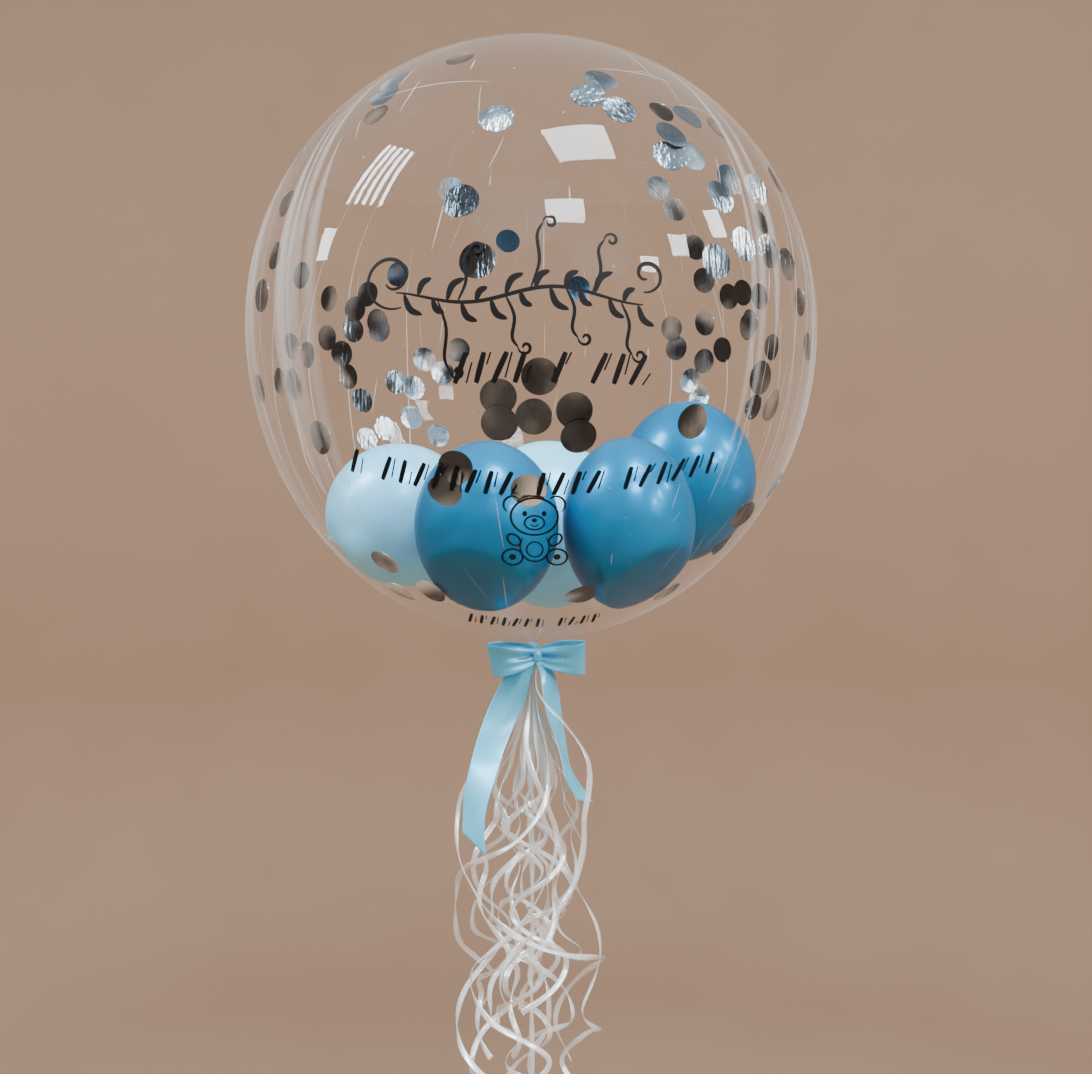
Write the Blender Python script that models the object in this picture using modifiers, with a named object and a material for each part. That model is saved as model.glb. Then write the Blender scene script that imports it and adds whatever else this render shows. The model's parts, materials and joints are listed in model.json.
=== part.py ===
"""Party balloon: a sealed clear film bubble, a satin bow on its neck and a bunch of curling ribbons.

Metres, +Z up, the printed side facing -Y. The origin is the tie round the bubble's neck.
The bubble stands above it, and the ribbons hang below it.
"""

import math
import random

import bmesh
import bpy
from mathutils import Vector

# Film bubble and its gathered neck
BUBBLE_RADIUS = 0.250
BUBBLE_LOWER_HEIGHT = 0.272
MOUTH_HEIGHT = 0.007
NECK_RADIUS = 0.0038
NECK_FLARE = 0.0005
NECK_END_DEPTH = 0.0165
MOUTH_BLEND = 0.008
MOUTH_FILLET = ((0.30, 0.25), (0.06, 0.60))
BUBBLE_FACETS = 36
BUBBLE_UPPER_STEPS = 10
BUBBLE_LOWER_STEPS = 11

# Satin ribbon: its wrap round the neck, and the bow
SATIN_WIDTH = 0.0285
SATIN_THICKNESS = 0.0008
WRAP_TOP = 0.0032
WRAP_BOTTOM = -0.0090
WRAP_THICKNESS = 0.0012
WRAP_FACETS = 24
KNOT_HALF_WIDTH = 0.0042
KNOT_HALF_THICKNESS = 0.0052
KNOT_HALF_HEIGHT = 0.0066
KNOT_SIDE = 0.0050
KNOT_DEPTH = 0.0078
KNOT_SINK = 0.0028
LOOP_REACH = 0.0415
LOOP_DEPTH = 0.018
LOOP_GATHER = 0.0052
LOOP_END_GAP = 0.0011
LOOP_TILT = 0.0020
LEFT_LOOP_LEAN = 0.0030
LEFT_LOOP_DROOP = 0.0040
RIGHT_LOOP_LEAN = 0.0
RIGHT_LOOP_DROOP = 0.0018
LOOP_STEPS = 14
LOOP_END_SHARE = 0.02
LEFT_TAIL_DROP = 0.158
RIGHT_TAIL_DROP = 0.125
TAIL_CLEARANCE = 0.0022
TAIL_STEP = 0.0095
TAIL_CUT_SLANT = 0.62
TAIL_CUT_ROWS = 3
TAIL_SMOOTHINGS = 3

# Bunch of curling ribbons under the neck
CURLING_COUNT = 19
CURLING_WIDTH = 0.005
CURLING_THICKNESS = 0.00035
PACK_SPACING = 0.00125
PACK_DEPTH = 0.030
PACKED_WIDTH = 0.0013
SPREAD_DEPTH = 0.150
SWELL_LEAD = 0.020
SWELL_LENGTH = 0.120
SWELL_START_SHARE = 0.84
INNER_RADIUS = 0.0125
SHELL_GAP = 0.0033
BUNCH_LEAN = 0.12
SWING = 0.036
SWING_LIMIT = 1.1
SWING_START = 0.080
SWING_FULL = 0.190
SHORTEST_HANG = 0.262
LONGEST_HANG = 0.440
HANG_START_SHARE = 0.35
SHORTEST_WAVE = 0.090
LONGEST_WAVE = 0.135
LEAST_VIGOUR = 0.75
MOST_VIGOUR = 1.25
ROUTE_STEPS = 300
FRONT_CURL_TURN = 0.8
CURL_STEP = 0.0128

# Tether ribbon on the bunch's axis, and the knotted loop on its end
TETHER_HANG = 0.418
TETHER_STEPS = 8
TETHER_KNOT_RADIUS = 0.0034
TETHER_LOOP_REACH = 0.026
TETHER_LOOP_DEPTH = 0.015
TETHER_LOOP_GATHER = 0.0015

GAP = 0.0003
GOLDEN_ANGLE = math.radians(137.508)
GOLDEN_SHARE = 0.618034
SHARP_ANGLE = math.radians(50)
CURVE_DETAIL = 20
MERGE_DISTANCE = 0.00005

BUBBLE_CENTRE_HEIGHT = MOUTH_HEIGHT + BUBBLE_LOWER_HEIGHT
WRAP_INNER_RADIUS = NECK_RADIUS + GAP
WRAP_OUTER_RADIUS = WRAP_INNER_RADIUS + WRAP_THICKNESS
KNOT_HALF_SIZE = Vector((KNOT_HALF_WIDTH, KNOT_HALF_THICKNESS, KNOT_HALF_HEIGHT))
KNOT = Vector((KNOT_SIDE, KNOT_SINK - WRAP_OUTER_RADIUS - KNOT_HALF_THICKNESS, -KNOT_DEPTH))
BUNCH_TOP = NECK_END_DEPTH + GAP
FRONT = Vector((0.0, -1.0, 0.0))
RIGHT = Vector((1.0, 0.0, 0.0))
UP = Vector((0.0, 0.0, 1.0))


def clear_scene():
    for obj in list(bpy.data.objects):
        bpy.data.objects.remove(obj, do_unlink=True)


def new_collection(name):
    collection = bpy.data.collections.new(name)
    bpy.context.scene.collection.children.link(collection)
    return collection


def new_material(name, colour, roughness, metallic=0.0, alpha=1.0):
    material = bpy.data.materials.new(name)
    material.use_nodes = True
    shader = material.node_tree.nodes["Principled BSDF"]
    shader.inputs["Base Color"].default_value = (*colour, 1.0)
    shader.inputs["Roughness"].default_value = roughness
    shader.inputs["Metallic"].default_value = metallic
    shader.inputs["Alpha"].default_value = alpha
    return material


def mesh_object(name, mesh, collection, material):
    mesh.materials.append(material)
    mesh.shade_smooth()
    mesh.set_sharp_from_angle(angle=SHARP_ANGLE)
    obj = bpy.data.objects.new(name, mesh)
    collection.objects.link(obj)
    return obj


def make_helper(obj):
    obj.hide_render = True
    obj.display_type = "WIRE"
    return obj


def turned_object(name, profile, facets, closed, collection, material):
    """A profile of (radius, height) points, top to bottom down its outer side, turned round Z."""
    mesh = bpy.data.meshes.new(name)
    points = [(radius, 0.0, height) for radius, height in profile]
    edges = [(i, i + 1) for i in range(len(points) - 1)]
    if closed:
        edges.append((len(points) - 1, 0))
    mesh.from_pydata(points, edges, [])
    obj = mesh_object(name, mesh, collection, material)
    turn = obj.modifiers.new("Turn", "SCREW")
    turn.steps = facets
    turn.render_steps = facets
    turn.use_merge_vertices = True
    turn.merge_threshold = MERGE_DISTANCE
    turn.use_smooth_shade = True
    return obj


def strip_object(name, rows, thickness, collection, material):
    """A ribbon: an open strip through rows of points, one row for each step along it, thickened."""
    builder = bmesh.new()
    grid = [[builder.verts.new(point) for point in row] for row in rows]
    for near, far in zip(grid, grid[1:]):
        for i in range(len(near) - 1):
            builder.faces.new((near[i], near[i + 1], far[i + 1], far[i]))
    mesh = bpy.data.meshes.new(name)
    builder.to_mesh(mesh)
    builder.free()
    obj = mesh_object(name, mesh, collection, material)
    skin = obj.modifiers.new("Thickness", "SOLIDIFY")
    skin.thickness = thickness
    skin.offset = 0.0
    return obj


def ball_object(name, centre, half_size, collection, material):
    builder = bmesh.new()
    bmesh.ops.create_uvsphere(builder, u_segments=14, v_segments=9, radius=1.0)
    bmesh.ops.scale(builder, vec=half_size, verts=builder.verts)
    bmesh.ops.translate(builder, vec=centre, verts=builder.verts)
    mesh = bpy.data.meshes.new(name)
    builder.to_mesh(mesh)
    builder.free()
    return mesh_object(name, mesh, collection, material)


def join_solids(base, others):
    for other in others:
        union = base.modifiers.new("Join " + other.name, "BOOLEAN")
        union.operation = "UNION"
        union.solver = "EXACT"
        union.object = make_helper(other)
    return base


def ease(value, start, end):
    """0 before start, 1 after end, and smooth between them."""
    share = min(max((value - start) / (end - start), 0.0), 1.0)
    return share * share * (3.0 - 2.0 * share)


def mix(a, b, share):
    return a + (b - a) * share


def smooth_curve(points):
    """Many close points on the smooth curve through the given ones."""
    ends = [2 * points[0] - points[1]] + list(points) + [2 * points[-1] - points[-2]]
    fine = []
    for before, start, end, after in zip(ends, ends[1:], ends[2:], ends[3:]):
        for step in range(CURVE_DETAIL):
            t = step / CURVE_DETAIL
            fine.append(
                0.5
                * (
                    2 * start
                    + (end - before) * t
                    + (2 * before - 5 * start + 4 * end - after) * t**2
                    + (3 * start - before - 3 * end + after) * t**3
                )
            )
    fine.append(points[-1])
    return fine


def even_points(fine, spacing, measured=3):
    """The same line with its points at even spacing, measured on that many of their numbers."""
    lengths = [0.0]
    for start, end in zip(fine, fine[1:]):
        lengths.append(lengths[-1] + (end - start).resized(measured).length)
    count = max(2, round(lengths[-1] / spacing))
    found = []
    at = 0
    for step in range(count + 1):
        wanted = lengths[-1] * step / count
        while at < len(fine) - 2 and lengths[at + 1] < wanted:
            at += 1
        share = (wanted - lengths[at]) / (lengths[at + 1] - lengths[at])
        found.append(fine[at] + (fine[at + 1] - fine[at]) * min(share, 1.0))
    return found


def directions(points):
    """The unit direction of a line at each of its points."""
    count = len(points)
    return [
        (points[min(i + 1, count - 1)] - points[max(i - 1, 0)]).normalized() for i in range(count)
    ]


# Film bubble


def bubble_profile():
    """(radius, height) from the crown down to the end of the gathered neck."""
    points = []
    for step in range(BUBBLE_UPPER_STEPS + 1):
        angle = math.radians(90) * (1 - step / BUBBLE_UPPER_STEPS)
        radius = BUBBLE_RADIUS * math.cos(angle)
        points.append((radius, BUBBLE_CENTRE_HEIGHT + BUBBLE_RADIUS * math.sin(angle)))
    points[0] = (0.0, points[0][1])
    lip_angle = math.acos((NECK_RADIUS + MOUTH_BLEND) / BUBBLE_RADIUS)
    for step in range(1, BUBBLE_LOWER_STEPS + 1):
        angle = lip_angle * step / BUBBLE_LOWER_STEPS
        radius = BUBBLE_RADIUS * math.cos(angle)
        points.append((radius, BUBBLE_CENTRE_HEIGHT - BUBBLE_LOWER_HEIGHT * math.sin(angle)))
    for out, down in MOUTH_FILLET:
        points.append((NECK_RADIUS + MOUTH_BLEND * out, mix(MOUTH_HEIGHT, WRAP_TOP, down)))
    points += [
        (NECK_RADIUS, WRAP_TOP + GAP),
        (NECK_RADIUS, WRAP_BOTTOM - GAP),
        (NECK_RADIUS + NECK_FLARE, -NECK_END_DEPTH),
        (0.0, -NECK_END_DEPTH),
    ]
    return points


def build_bubble(collection, film):
    turned_object("film_bubble", bubble_profile(), BUBBLE_FACETS, False, collection, film)


# Bunch of curling ribbons: each keeps to its own shell round the bunch's axis, so none cuts another


def shell_radius(order, depth):
    packed = PACK_SPACING * math.sqrt(order + 0.5)
    swell = ease(depth, SPREAD_DEPTH - SWELL_LEAD, SPREAD_DEPTH + SWELL_LENGTH)
    full = (INNER_RADIUS + SHELL_GAP * order) * mix(SWELL_START_SHARE, 1.0, swell)
    return mix(packed, full, ease(depth, PACK_DEPTH, SPREAD_DEPTH))


def shell_point(order, angle, depth):
    """A point on a shell, its angle measured from the front towards +X."""
    radius = shell_radius(order, depth)
    outward = Vector((math.sin(angle), -math.cos(angle), 0.0))
    lean = Vector((-BUNCH_LEAN * (radius - shell_radius(0, depth)), 0.0, 0.0))
    return radius * outward + lean - Vector((0.0, 0.0, depth))


def bunch_front(x, depth):
    """How far forward the outermost shell reaches at this x and depth."""
    order = CURLING_COUNT - 1
    radius = shell_radius(order, depth)
    lean = -BUNCH_LEAN * (radius - shell_radius(0, depth))
    reach = radius**2 - (x - lean) ** 2
    return -math.sqrt(reach) if reach > 0 else 0.0


# Depth, and angle from the front in degrees, down each ribbon that shows on the bunch's outside
OUTER_ROUTES = {
    13: ((0.030, -12), (0.080, -8), (0.108, 8), (0.136, 24), (0.166, 34), (0.195, 22), (0.223, 4),
         (0.242, -12), (0.258, -33), (0.280, -58), (0.300, -58), (0.318, -33), (0.333, 2),
         (0.350, 22), (0.366, 10), (0.385, -22), (0.405, -40), (0.432, -25)),
    14: ((0.030, 125), (0.080, 118), (0.105, 80), (0.130, 46), (0.152, 55), (0.172, 74),
         (0.190, 95), (0.210, 118), (0.240, 142), (0.270, 165), (0.300, 150), (0.328, 172)),
    15: ((0.030, -97), (0.080, -100), (0.120, -125), (0.160, -150), (0.200, -122), (0.235, -135),
         (0.270, -165), (0.300, -145), (0.322, -112), (0.342, -80), (0.356, -50), (0.372, -15)),
    16: ((0.030, 40), (0.080, 36), (0.115, 26), (0.140, 12), (0.163, -10), (0.178, -36),
         (0.192, -62), (0.212, -84), (0.240, -95), (0.272, -110), (0.297, -134), (0.320, -152),
         (0.350, -138)),
    17: ((0.030, 177), (0.080, 170), (0.120, 140), (0.155, 125), (0.190, 150), (0.230, 135),
         (0.262, 100), (0.290, 62), (0.312, 48), (0.335, 70), (0.350, 98), (0.368, 126),
         (0.400, 150), (0.428, 130)),
    18: ((0.030, -45), (0.080, -52), (0.110, -76), (0.140, -92), (0.170, -76), (0.200, -44),
         (0.225, -20), (0.243, 6), (0.257, 34), (0.270, 66), (0.286, 96), (0.310, 128),
         (0.340, 150), (0.370, 156), (0.400, 142)),
}


def wandering_route(order, hang, wavelength, phase, vigour):
    """Depth and angle down a ribbon inside the bunch, which swings more the lower it hangs."""
    route = []
    for step in range(ROUTE_STEPS + 1):
        depth = mix(BUNCH_TOP, hang, step / ROUTE_STEPS)
        swing = min(SWING * vigour, SWING_LIMIT * shell_radius(order, SPREAD_DEPTH))
        reach = swing / shell_radius(order, max(depth, SWING_START))
        wave = math.sin(2 * math.pi * (depth - SWING_START) / wavelength + phase)
        angle = order * GOLDEN_ANGLE + reach * wave * ease(depth, SWING_START, SWING_FULL)
        route.append((depth, angle))
    return route


def outer_route(order):
    knots = [Vector((depth, math.radians(angle))) for depth, angle in OUTER_ROUTES[order]]
    knots[0].y = math.remainder(order * GOLDEN_ANGLE, 2 * math.pi)
    top = Vector((BUNCH_TOP, knots[0].y))
    return [tuple(knot) for knot in smooth_curve([top] + knots)]


def curl_lines():
    """The middle line of each curling ribbon in the bunch."""
    chance = random.Random(11)
    for order in range(CURLING_COUNT):
        share = (HANG_START_SHARE + order * GOLDEN_SHARE) % 1.0
        hang = mix(SHORTEST_HANG, LONGEST_HANG, share)
        wavelength = chance.uniform(SHORTEST_WAVE, LONGEST_WAVE)
        phase = chance.uniform(0.0, 2 * math.pi)
        vigour = chance.uniform(LEAST_VIGOUR, MOST_VIGOUR)
        if order in OUTER_ROUTES:
            route = outer_route(order)
        else:
            route = wandering_route(order, hang, wavelength, phase, vigour)
        fine = [shell_point(order, angle, depth) for depth, angle in route]
        yield order, even_points(fine, CURL_STEP)


def curl_width(depth):
    return mix(PACKED_WIDTH, CURLING_WIDTH, ease(depth, PACK_DEPTH, SWING_START))


def strip_rows(points, facing, widths):
    """Rows for a flat strip that follows points, turned so that it faces the given way at each."""
    rows = []
    for point, forward, face, width in zip(points, directions(points), facing, widths):
        side = forward.cross(face).normalized()
        rows.append([point - side * width / 2, point + side * width / 2])
    return rows


def build_curling_ribbons(collection, ribbon):
    for order, points in curl_lines():
        facing = []
        for point in points:
            lean = -BUNCH_LEAN * (shell_radius(order, -point.z) - shell_radius(0, -point.z))
            facing.append(Vector((point.x - lean, point.y, 0.0)).normalized())
        widths = [curl_width(-point.z) for point in points]
        rows = strip_rows(points, facing, widths)
        name = f"curling_ribbon_{order + 1:02d}"
        strip_object(name, rows, CURLING_THICKNESS, collection, ribbon)


FRONT_CURL_ROUTE = [
    Vector(point)
    for point in (
        (0.0036, -0.0066, -BUNCH_TOP),
        (0.0037, -0.0086, -0.0230),
        (0.0036, -0.0128, -0.0300),
        (0.0058, -0.0200, -0.0390),
        (0.0143, -0.0340, -0.0495),
        (0.0272, -0.0480, -0.0603),
        (0.0399, -0.0580, -0.0749),
        (0.0481, -0.0630, -0.0884),
        (0.0494, -0.0650, -0.0994),
        (0.0476, -0.0690, -0.1181),
        (0.0445, -0.0720, -0.1367),
        (0.0436, -0.0730, -0.1627),
        (0.0365, -0.0740, -0.1930),
        (0.0230, -0.0760, -0.2170),
        (0.0020, -0.0780, -0.2330),
        (-0.0180, -0.0790, -0.2520),
        (-0.0260, -0.0790, -0.2760),
        (-0.0160, -0.0790, -0.3000),
    )
]


def build_front_curl(collection, ribbon):
    """The one ribbon that springs out in front of the bunch and over the bow's right tail."""
    points = even_points(smooth_curve(FRONT_CURL_ROUTE), CURL_STEP)
    facing = []
    for point in points:
        outward = Vector((point.x, point.y, 0.0)).normalized()
        facing.append(FRONT.lerp(outward, FRONT_CURL_TURN).normalized())
    widths = [curl_width(-point.z) for point in points]
    rows = strip_rows(points, facing, widths)
    name = f"curling_ribbon_{CURLING_COUNT + 1:02d}"
    strip_object(name, rows, CURLING_THICKNESS, collection, ribbon)


# Tied ribbon: a loop that leaves a knot and comes back to it


def loop_rows(knot, outward, deep, side, reach, depth, gather, width, lean=0.0, droop=0.0, tilt=0.0):
    rows = []
    for step in range(LOOP_STEPS + 1):
        turn = 2 * math.pi * mix(LOOP_END_SHARE, 1 - LOOP_END_SHARE, step / LOOP_STEPS)
        out = (1 - math.cos(turn)) / 2
        apart = LOOP_END_GAP * math.cos(turn / 2) + depth / 2 * math.sin(turn) * math.sqrt(out)
        half = mix(gather, width / 2, math.sqrt(out))
        row = []
        for across in (-1.0, -1 / 3, 1 / 3, 1.0):
            along = LOOP_END_GAP + (reach + lean * across) * out
            height = half * across - droop * out - tilt * math.sin(turn)
            row.append(knot + outward * along + deep * apart + side * height)
        rows.append(row)
    return rows


# Route of each tail from the knot: sideways and up as shares of its drop, the turn of its face in
# degrees, and the share of its full width
LEFT_TAIL_ROUTE = (
    (-0.011, -0.019, 0, 0.24),
    (-0.039, -0.044, 2, 0.42),
    (-0.079, -0.075, 5, 0.59),
    (-0.111, -0.124, 8, 0.80),
    (-0.150, -0.230, 8, 0.95),
    (-0.203, -0.337, 10, 0.95),
    (-0.261, -0.488, 20, 0.95),
    (-0.309, -0.651, 28, 0.95),
    (-0.337, -0.760, 36, 0.95),
    (-0.348, -0.880, 44, 0.95),
    (-0.342, -1.000, 42, 0.95),
)
RIGHT_TAIL_ROUTE = (
    (0.003, -0.024, -20, 0.24),
    (0.054, -0.090, -45, 0.47),
    (0.079, -0.167, -55, 0.81),
    (0.102, -0.310, -58, 0.95),
    (0.122, -0.417, -62, 0.95),
    (0.164, -0.574, -72, 0.95),
    (0.192, -0.694, -78, 0.95),
    (0.220, -0.814, -74, 0.90),
    (0.336, -1.000, -62, 0.71),
)
TAIL_SHARES = (-0.5, -0.25, 0.0, 0.25, 0.5)


def tail_rows(route, drop):
    """Rows of a tail that hangs in front of the bunch, its end cut on the slant."""
    route = [Vector((x * drop, height * drop, turn, width)) for x, height, turn, width in route]
    points = even_points(smooth_curve(route), TAIL_STEP, measured=2)
    line = [Vector((KNOT.x + point[0], 0.0, KNOT.z + point[1])) for point in points]
    last = len(line) - 1
    rows = []
    limits = []
    for at, (place, forward, point) in enumerate(zip(line, directions(line), points)):
        turn = math.radians(point[2])
        level = Vector((math.cos(turn), -math.sin(turn), 0.0))
        side = (level - forward * level.dot(forward)).normalized()
        cut = forward * ease(at, last - TAIL_CUT_ROWS, last) * TAIL_CUT_SLANT
        row = [place + (side + cut) * SATIN_WIDTH * point[3] * share for share in TAIL_SHARES]
        clear = [bunch_front(spot.x, -spot.z) - TAIL_CLEARANCE - spot.y for spot in row]
        rows.append(row)
        limits.append(min([KNOT.y] + clear))
    eased = limits
    for _ in range(TAIL_SMOOTHINGS):
        around = [eased[max(i - 1, 0) : i + 2] for i in range(len(eased))]
        eased = [min(limit, sum(near) / len(near)) for limit, near in zip(limits, around)]
    return [[spot - FRONT * limit for spot in row] for row, limit in zip(rows, eased)]


def build_bow(collection, helpers, satin):
    wrap_profile = [
        (WRAP_OUTER_RADIUS, WRAP_TOP),
        (WRAP_OUTER_RADIUS, WRAP_BOTTOM),
        (WRAP_INNER_RADIUS, WRAP_BOTTOM),
        (WRAP_INNER_RADIUS, WRAP_TOP),
    ]
    parts = [turned_object("wrap", wrap_profile, WRAP_FACETS, True, helpers, satin)]
    for name, outward, lean, droop in (
        ("loop_left", -RIGHT, LEFT_LOOP_LEAN, LEFT_LOOP_DROOP),
        ("loop_right", RIGHT, RIGHT_LOOP_LEAN, RIGHT_LOOP_DROOP),
    ):
        size = (LOOP_REACH, LOOP_DEPTH, LOOP_GATHER, SATIN_WIDTH, lean, droop, LOOP_TILT)
        rows = loop_rows(KNOT, outward, FRONT, UP, *size)
        parts.append(strip_object(name, rows, SATIN_THICKNESS, helpers, satin))
    for name, route, drop in (
        ("tail_left", LEFT_TAIL_ROUTE, LEFT_TAIL_DROP),
        ("tail_right", RIGHT_TAIL_ROUTE, RIGHT_TAIL_DROP),
    ):
        parts.append(strip_object(name, tail_rows(route, drop), SATIN_THICKNESS, helpers, satin))
    knot = ball_object("satin_bow", KNOT, KNOT_HALF_SIZE, collection, satin)
    join_solids(knot, parts)


def build_tether(collection, helpers, ribbon):
    top = Vector((0.0, 0.0, -BUNCH_TOP))
    end = Vector((0.0, 0.0, -TETHER_HANG))
    points = [top.lerp(end, step / TETHER_STEPS) for step in range(TETHER_STEPS + 1)]
    widths = [curl_width(-point.z) for point in points]
    rows = strip_rows(points, [FRONT] * len(points), widths)
    strip_object("tether_ribbon", rows, CURLING_THICKNESS, collection, ribbon)
    centre = end - UP * (GAP + TETHER_KNOT_RADIUS)
    size = (TETHER_LOOP_REACH, TETHER_LOOP_DEPTH, TETHER_LOOP_GATHER, CURLING_WIDTH)
    rows = loop_rows(centre, -UP, RIGHT, FRONT, *size)
    loop = strip_object("loop", rows, CURLING_THICKNESS, helpers, ribbon)
    knot_size = Vector((1.0, 1.0, 1.0)) * TETHER_KNOT_RADIUS
    knot = ball_object("tether_loop", centre, knot_size, collection, ribbon)
    join_solids(knot, [loop])


def main():
    clear_scene()
    balloon = new_collection("party_balloon")
    helpers = new_collection("helpers")
    film = new_material("clear_film", (0.86, 0.90, 0.92), 0.05, alpha=0.3)
    satin = new_material("aqua_satin", (0.22, 0.55, 0.68), 0.38)
    ribbon = new_material("white_ribbon", (0.82, 0.84, 0.84), 0.3)
    build_bubble(balloon, film)
    build_bow(balloon, helpers, satin)
    build_curling_ribbons(balloon, ribbon)
    build_front_curl(balloon, ribbon)
    build_tether(balloon, helpers, ribbon)


main()
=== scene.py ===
"""Party balloon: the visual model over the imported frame, in metres, +Z up, the print facing -Y.

The clear film, the small balloons and foil confetti sealed in it, the print, the satin bow and
the curling ribbons are all built here in mesh code, on the same routes and sizes as the solids.
"""

import json
import math
import random

import bmesh
import bpy
from mathutils import Matrix, Vector
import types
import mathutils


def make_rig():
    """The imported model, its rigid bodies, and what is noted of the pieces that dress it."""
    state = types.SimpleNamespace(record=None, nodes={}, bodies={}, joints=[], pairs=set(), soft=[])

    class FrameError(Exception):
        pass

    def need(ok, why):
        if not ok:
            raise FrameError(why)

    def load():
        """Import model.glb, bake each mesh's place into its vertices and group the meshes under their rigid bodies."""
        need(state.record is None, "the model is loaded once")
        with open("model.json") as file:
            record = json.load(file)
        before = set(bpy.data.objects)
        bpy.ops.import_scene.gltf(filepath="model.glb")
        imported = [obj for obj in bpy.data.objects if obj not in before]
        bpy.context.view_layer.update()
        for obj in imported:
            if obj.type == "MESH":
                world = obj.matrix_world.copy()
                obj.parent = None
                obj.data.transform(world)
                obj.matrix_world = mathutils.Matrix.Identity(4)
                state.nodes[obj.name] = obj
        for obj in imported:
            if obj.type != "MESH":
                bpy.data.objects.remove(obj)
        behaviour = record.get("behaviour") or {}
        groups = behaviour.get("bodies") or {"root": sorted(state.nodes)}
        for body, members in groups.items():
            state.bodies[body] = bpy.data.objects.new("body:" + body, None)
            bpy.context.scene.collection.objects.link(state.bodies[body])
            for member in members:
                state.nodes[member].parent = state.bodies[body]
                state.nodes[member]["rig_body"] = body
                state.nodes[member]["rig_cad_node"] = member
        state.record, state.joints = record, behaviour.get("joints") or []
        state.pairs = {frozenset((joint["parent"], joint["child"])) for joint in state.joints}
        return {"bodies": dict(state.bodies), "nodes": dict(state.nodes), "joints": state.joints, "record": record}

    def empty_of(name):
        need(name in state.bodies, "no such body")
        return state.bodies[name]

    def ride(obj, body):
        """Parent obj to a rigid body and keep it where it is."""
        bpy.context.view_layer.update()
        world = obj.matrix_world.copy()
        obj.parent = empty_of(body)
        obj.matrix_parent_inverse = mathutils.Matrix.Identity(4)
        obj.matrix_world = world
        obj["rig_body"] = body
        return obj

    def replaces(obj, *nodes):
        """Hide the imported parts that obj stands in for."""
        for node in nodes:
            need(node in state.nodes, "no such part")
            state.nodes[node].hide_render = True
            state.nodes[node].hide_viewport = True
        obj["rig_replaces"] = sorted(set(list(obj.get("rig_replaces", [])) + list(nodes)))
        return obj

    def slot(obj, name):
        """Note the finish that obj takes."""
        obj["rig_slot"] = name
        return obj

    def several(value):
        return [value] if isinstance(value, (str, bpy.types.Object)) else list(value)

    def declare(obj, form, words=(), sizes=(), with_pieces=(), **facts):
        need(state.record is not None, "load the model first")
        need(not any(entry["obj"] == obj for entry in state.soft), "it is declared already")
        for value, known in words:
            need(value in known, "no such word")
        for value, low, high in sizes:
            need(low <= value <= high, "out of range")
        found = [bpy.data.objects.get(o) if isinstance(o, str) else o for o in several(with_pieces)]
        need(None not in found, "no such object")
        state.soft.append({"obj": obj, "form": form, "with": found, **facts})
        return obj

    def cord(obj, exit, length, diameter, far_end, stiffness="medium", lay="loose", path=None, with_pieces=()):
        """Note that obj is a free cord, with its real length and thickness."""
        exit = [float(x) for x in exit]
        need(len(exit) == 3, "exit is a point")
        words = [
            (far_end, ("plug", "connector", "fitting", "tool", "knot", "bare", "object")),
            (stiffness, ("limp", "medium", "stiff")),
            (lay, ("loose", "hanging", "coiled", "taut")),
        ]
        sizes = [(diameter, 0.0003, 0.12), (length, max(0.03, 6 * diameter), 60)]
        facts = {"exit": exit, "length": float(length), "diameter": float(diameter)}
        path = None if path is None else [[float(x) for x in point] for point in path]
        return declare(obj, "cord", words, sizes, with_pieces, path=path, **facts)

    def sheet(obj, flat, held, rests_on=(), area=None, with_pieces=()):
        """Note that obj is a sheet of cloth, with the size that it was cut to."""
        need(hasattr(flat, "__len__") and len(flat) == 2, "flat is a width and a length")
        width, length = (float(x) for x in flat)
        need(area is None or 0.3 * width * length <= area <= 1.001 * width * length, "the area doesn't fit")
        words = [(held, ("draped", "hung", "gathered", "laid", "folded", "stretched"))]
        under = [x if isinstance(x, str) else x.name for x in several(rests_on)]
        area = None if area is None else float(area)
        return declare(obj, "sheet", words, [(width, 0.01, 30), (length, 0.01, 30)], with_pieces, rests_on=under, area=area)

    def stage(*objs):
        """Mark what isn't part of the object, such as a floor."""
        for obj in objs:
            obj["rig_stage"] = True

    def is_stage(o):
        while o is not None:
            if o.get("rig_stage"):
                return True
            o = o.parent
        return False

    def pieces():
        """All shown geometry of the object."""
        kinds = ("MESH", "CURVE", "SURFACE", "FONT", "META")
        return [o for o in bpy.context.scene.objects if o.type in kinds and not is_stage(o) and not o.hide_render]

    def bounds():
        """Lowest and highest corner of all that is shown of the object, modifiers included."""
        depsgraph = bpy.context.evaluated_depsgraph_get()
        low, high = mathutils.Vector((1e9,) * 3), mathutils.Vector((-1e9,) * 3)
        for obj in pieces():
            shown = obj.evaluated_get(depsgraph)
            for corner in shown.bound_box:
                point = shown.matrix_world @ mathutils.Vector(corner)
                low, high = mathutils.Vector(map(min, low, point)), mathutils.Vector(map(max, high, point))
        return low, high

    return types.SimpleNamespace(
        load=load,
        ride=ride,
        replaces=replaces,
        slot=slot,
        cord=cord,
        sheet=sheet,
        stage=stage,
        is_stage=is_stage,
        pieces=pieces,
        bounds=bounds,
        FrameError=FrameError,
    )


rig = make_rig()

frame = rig.load()

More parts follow.
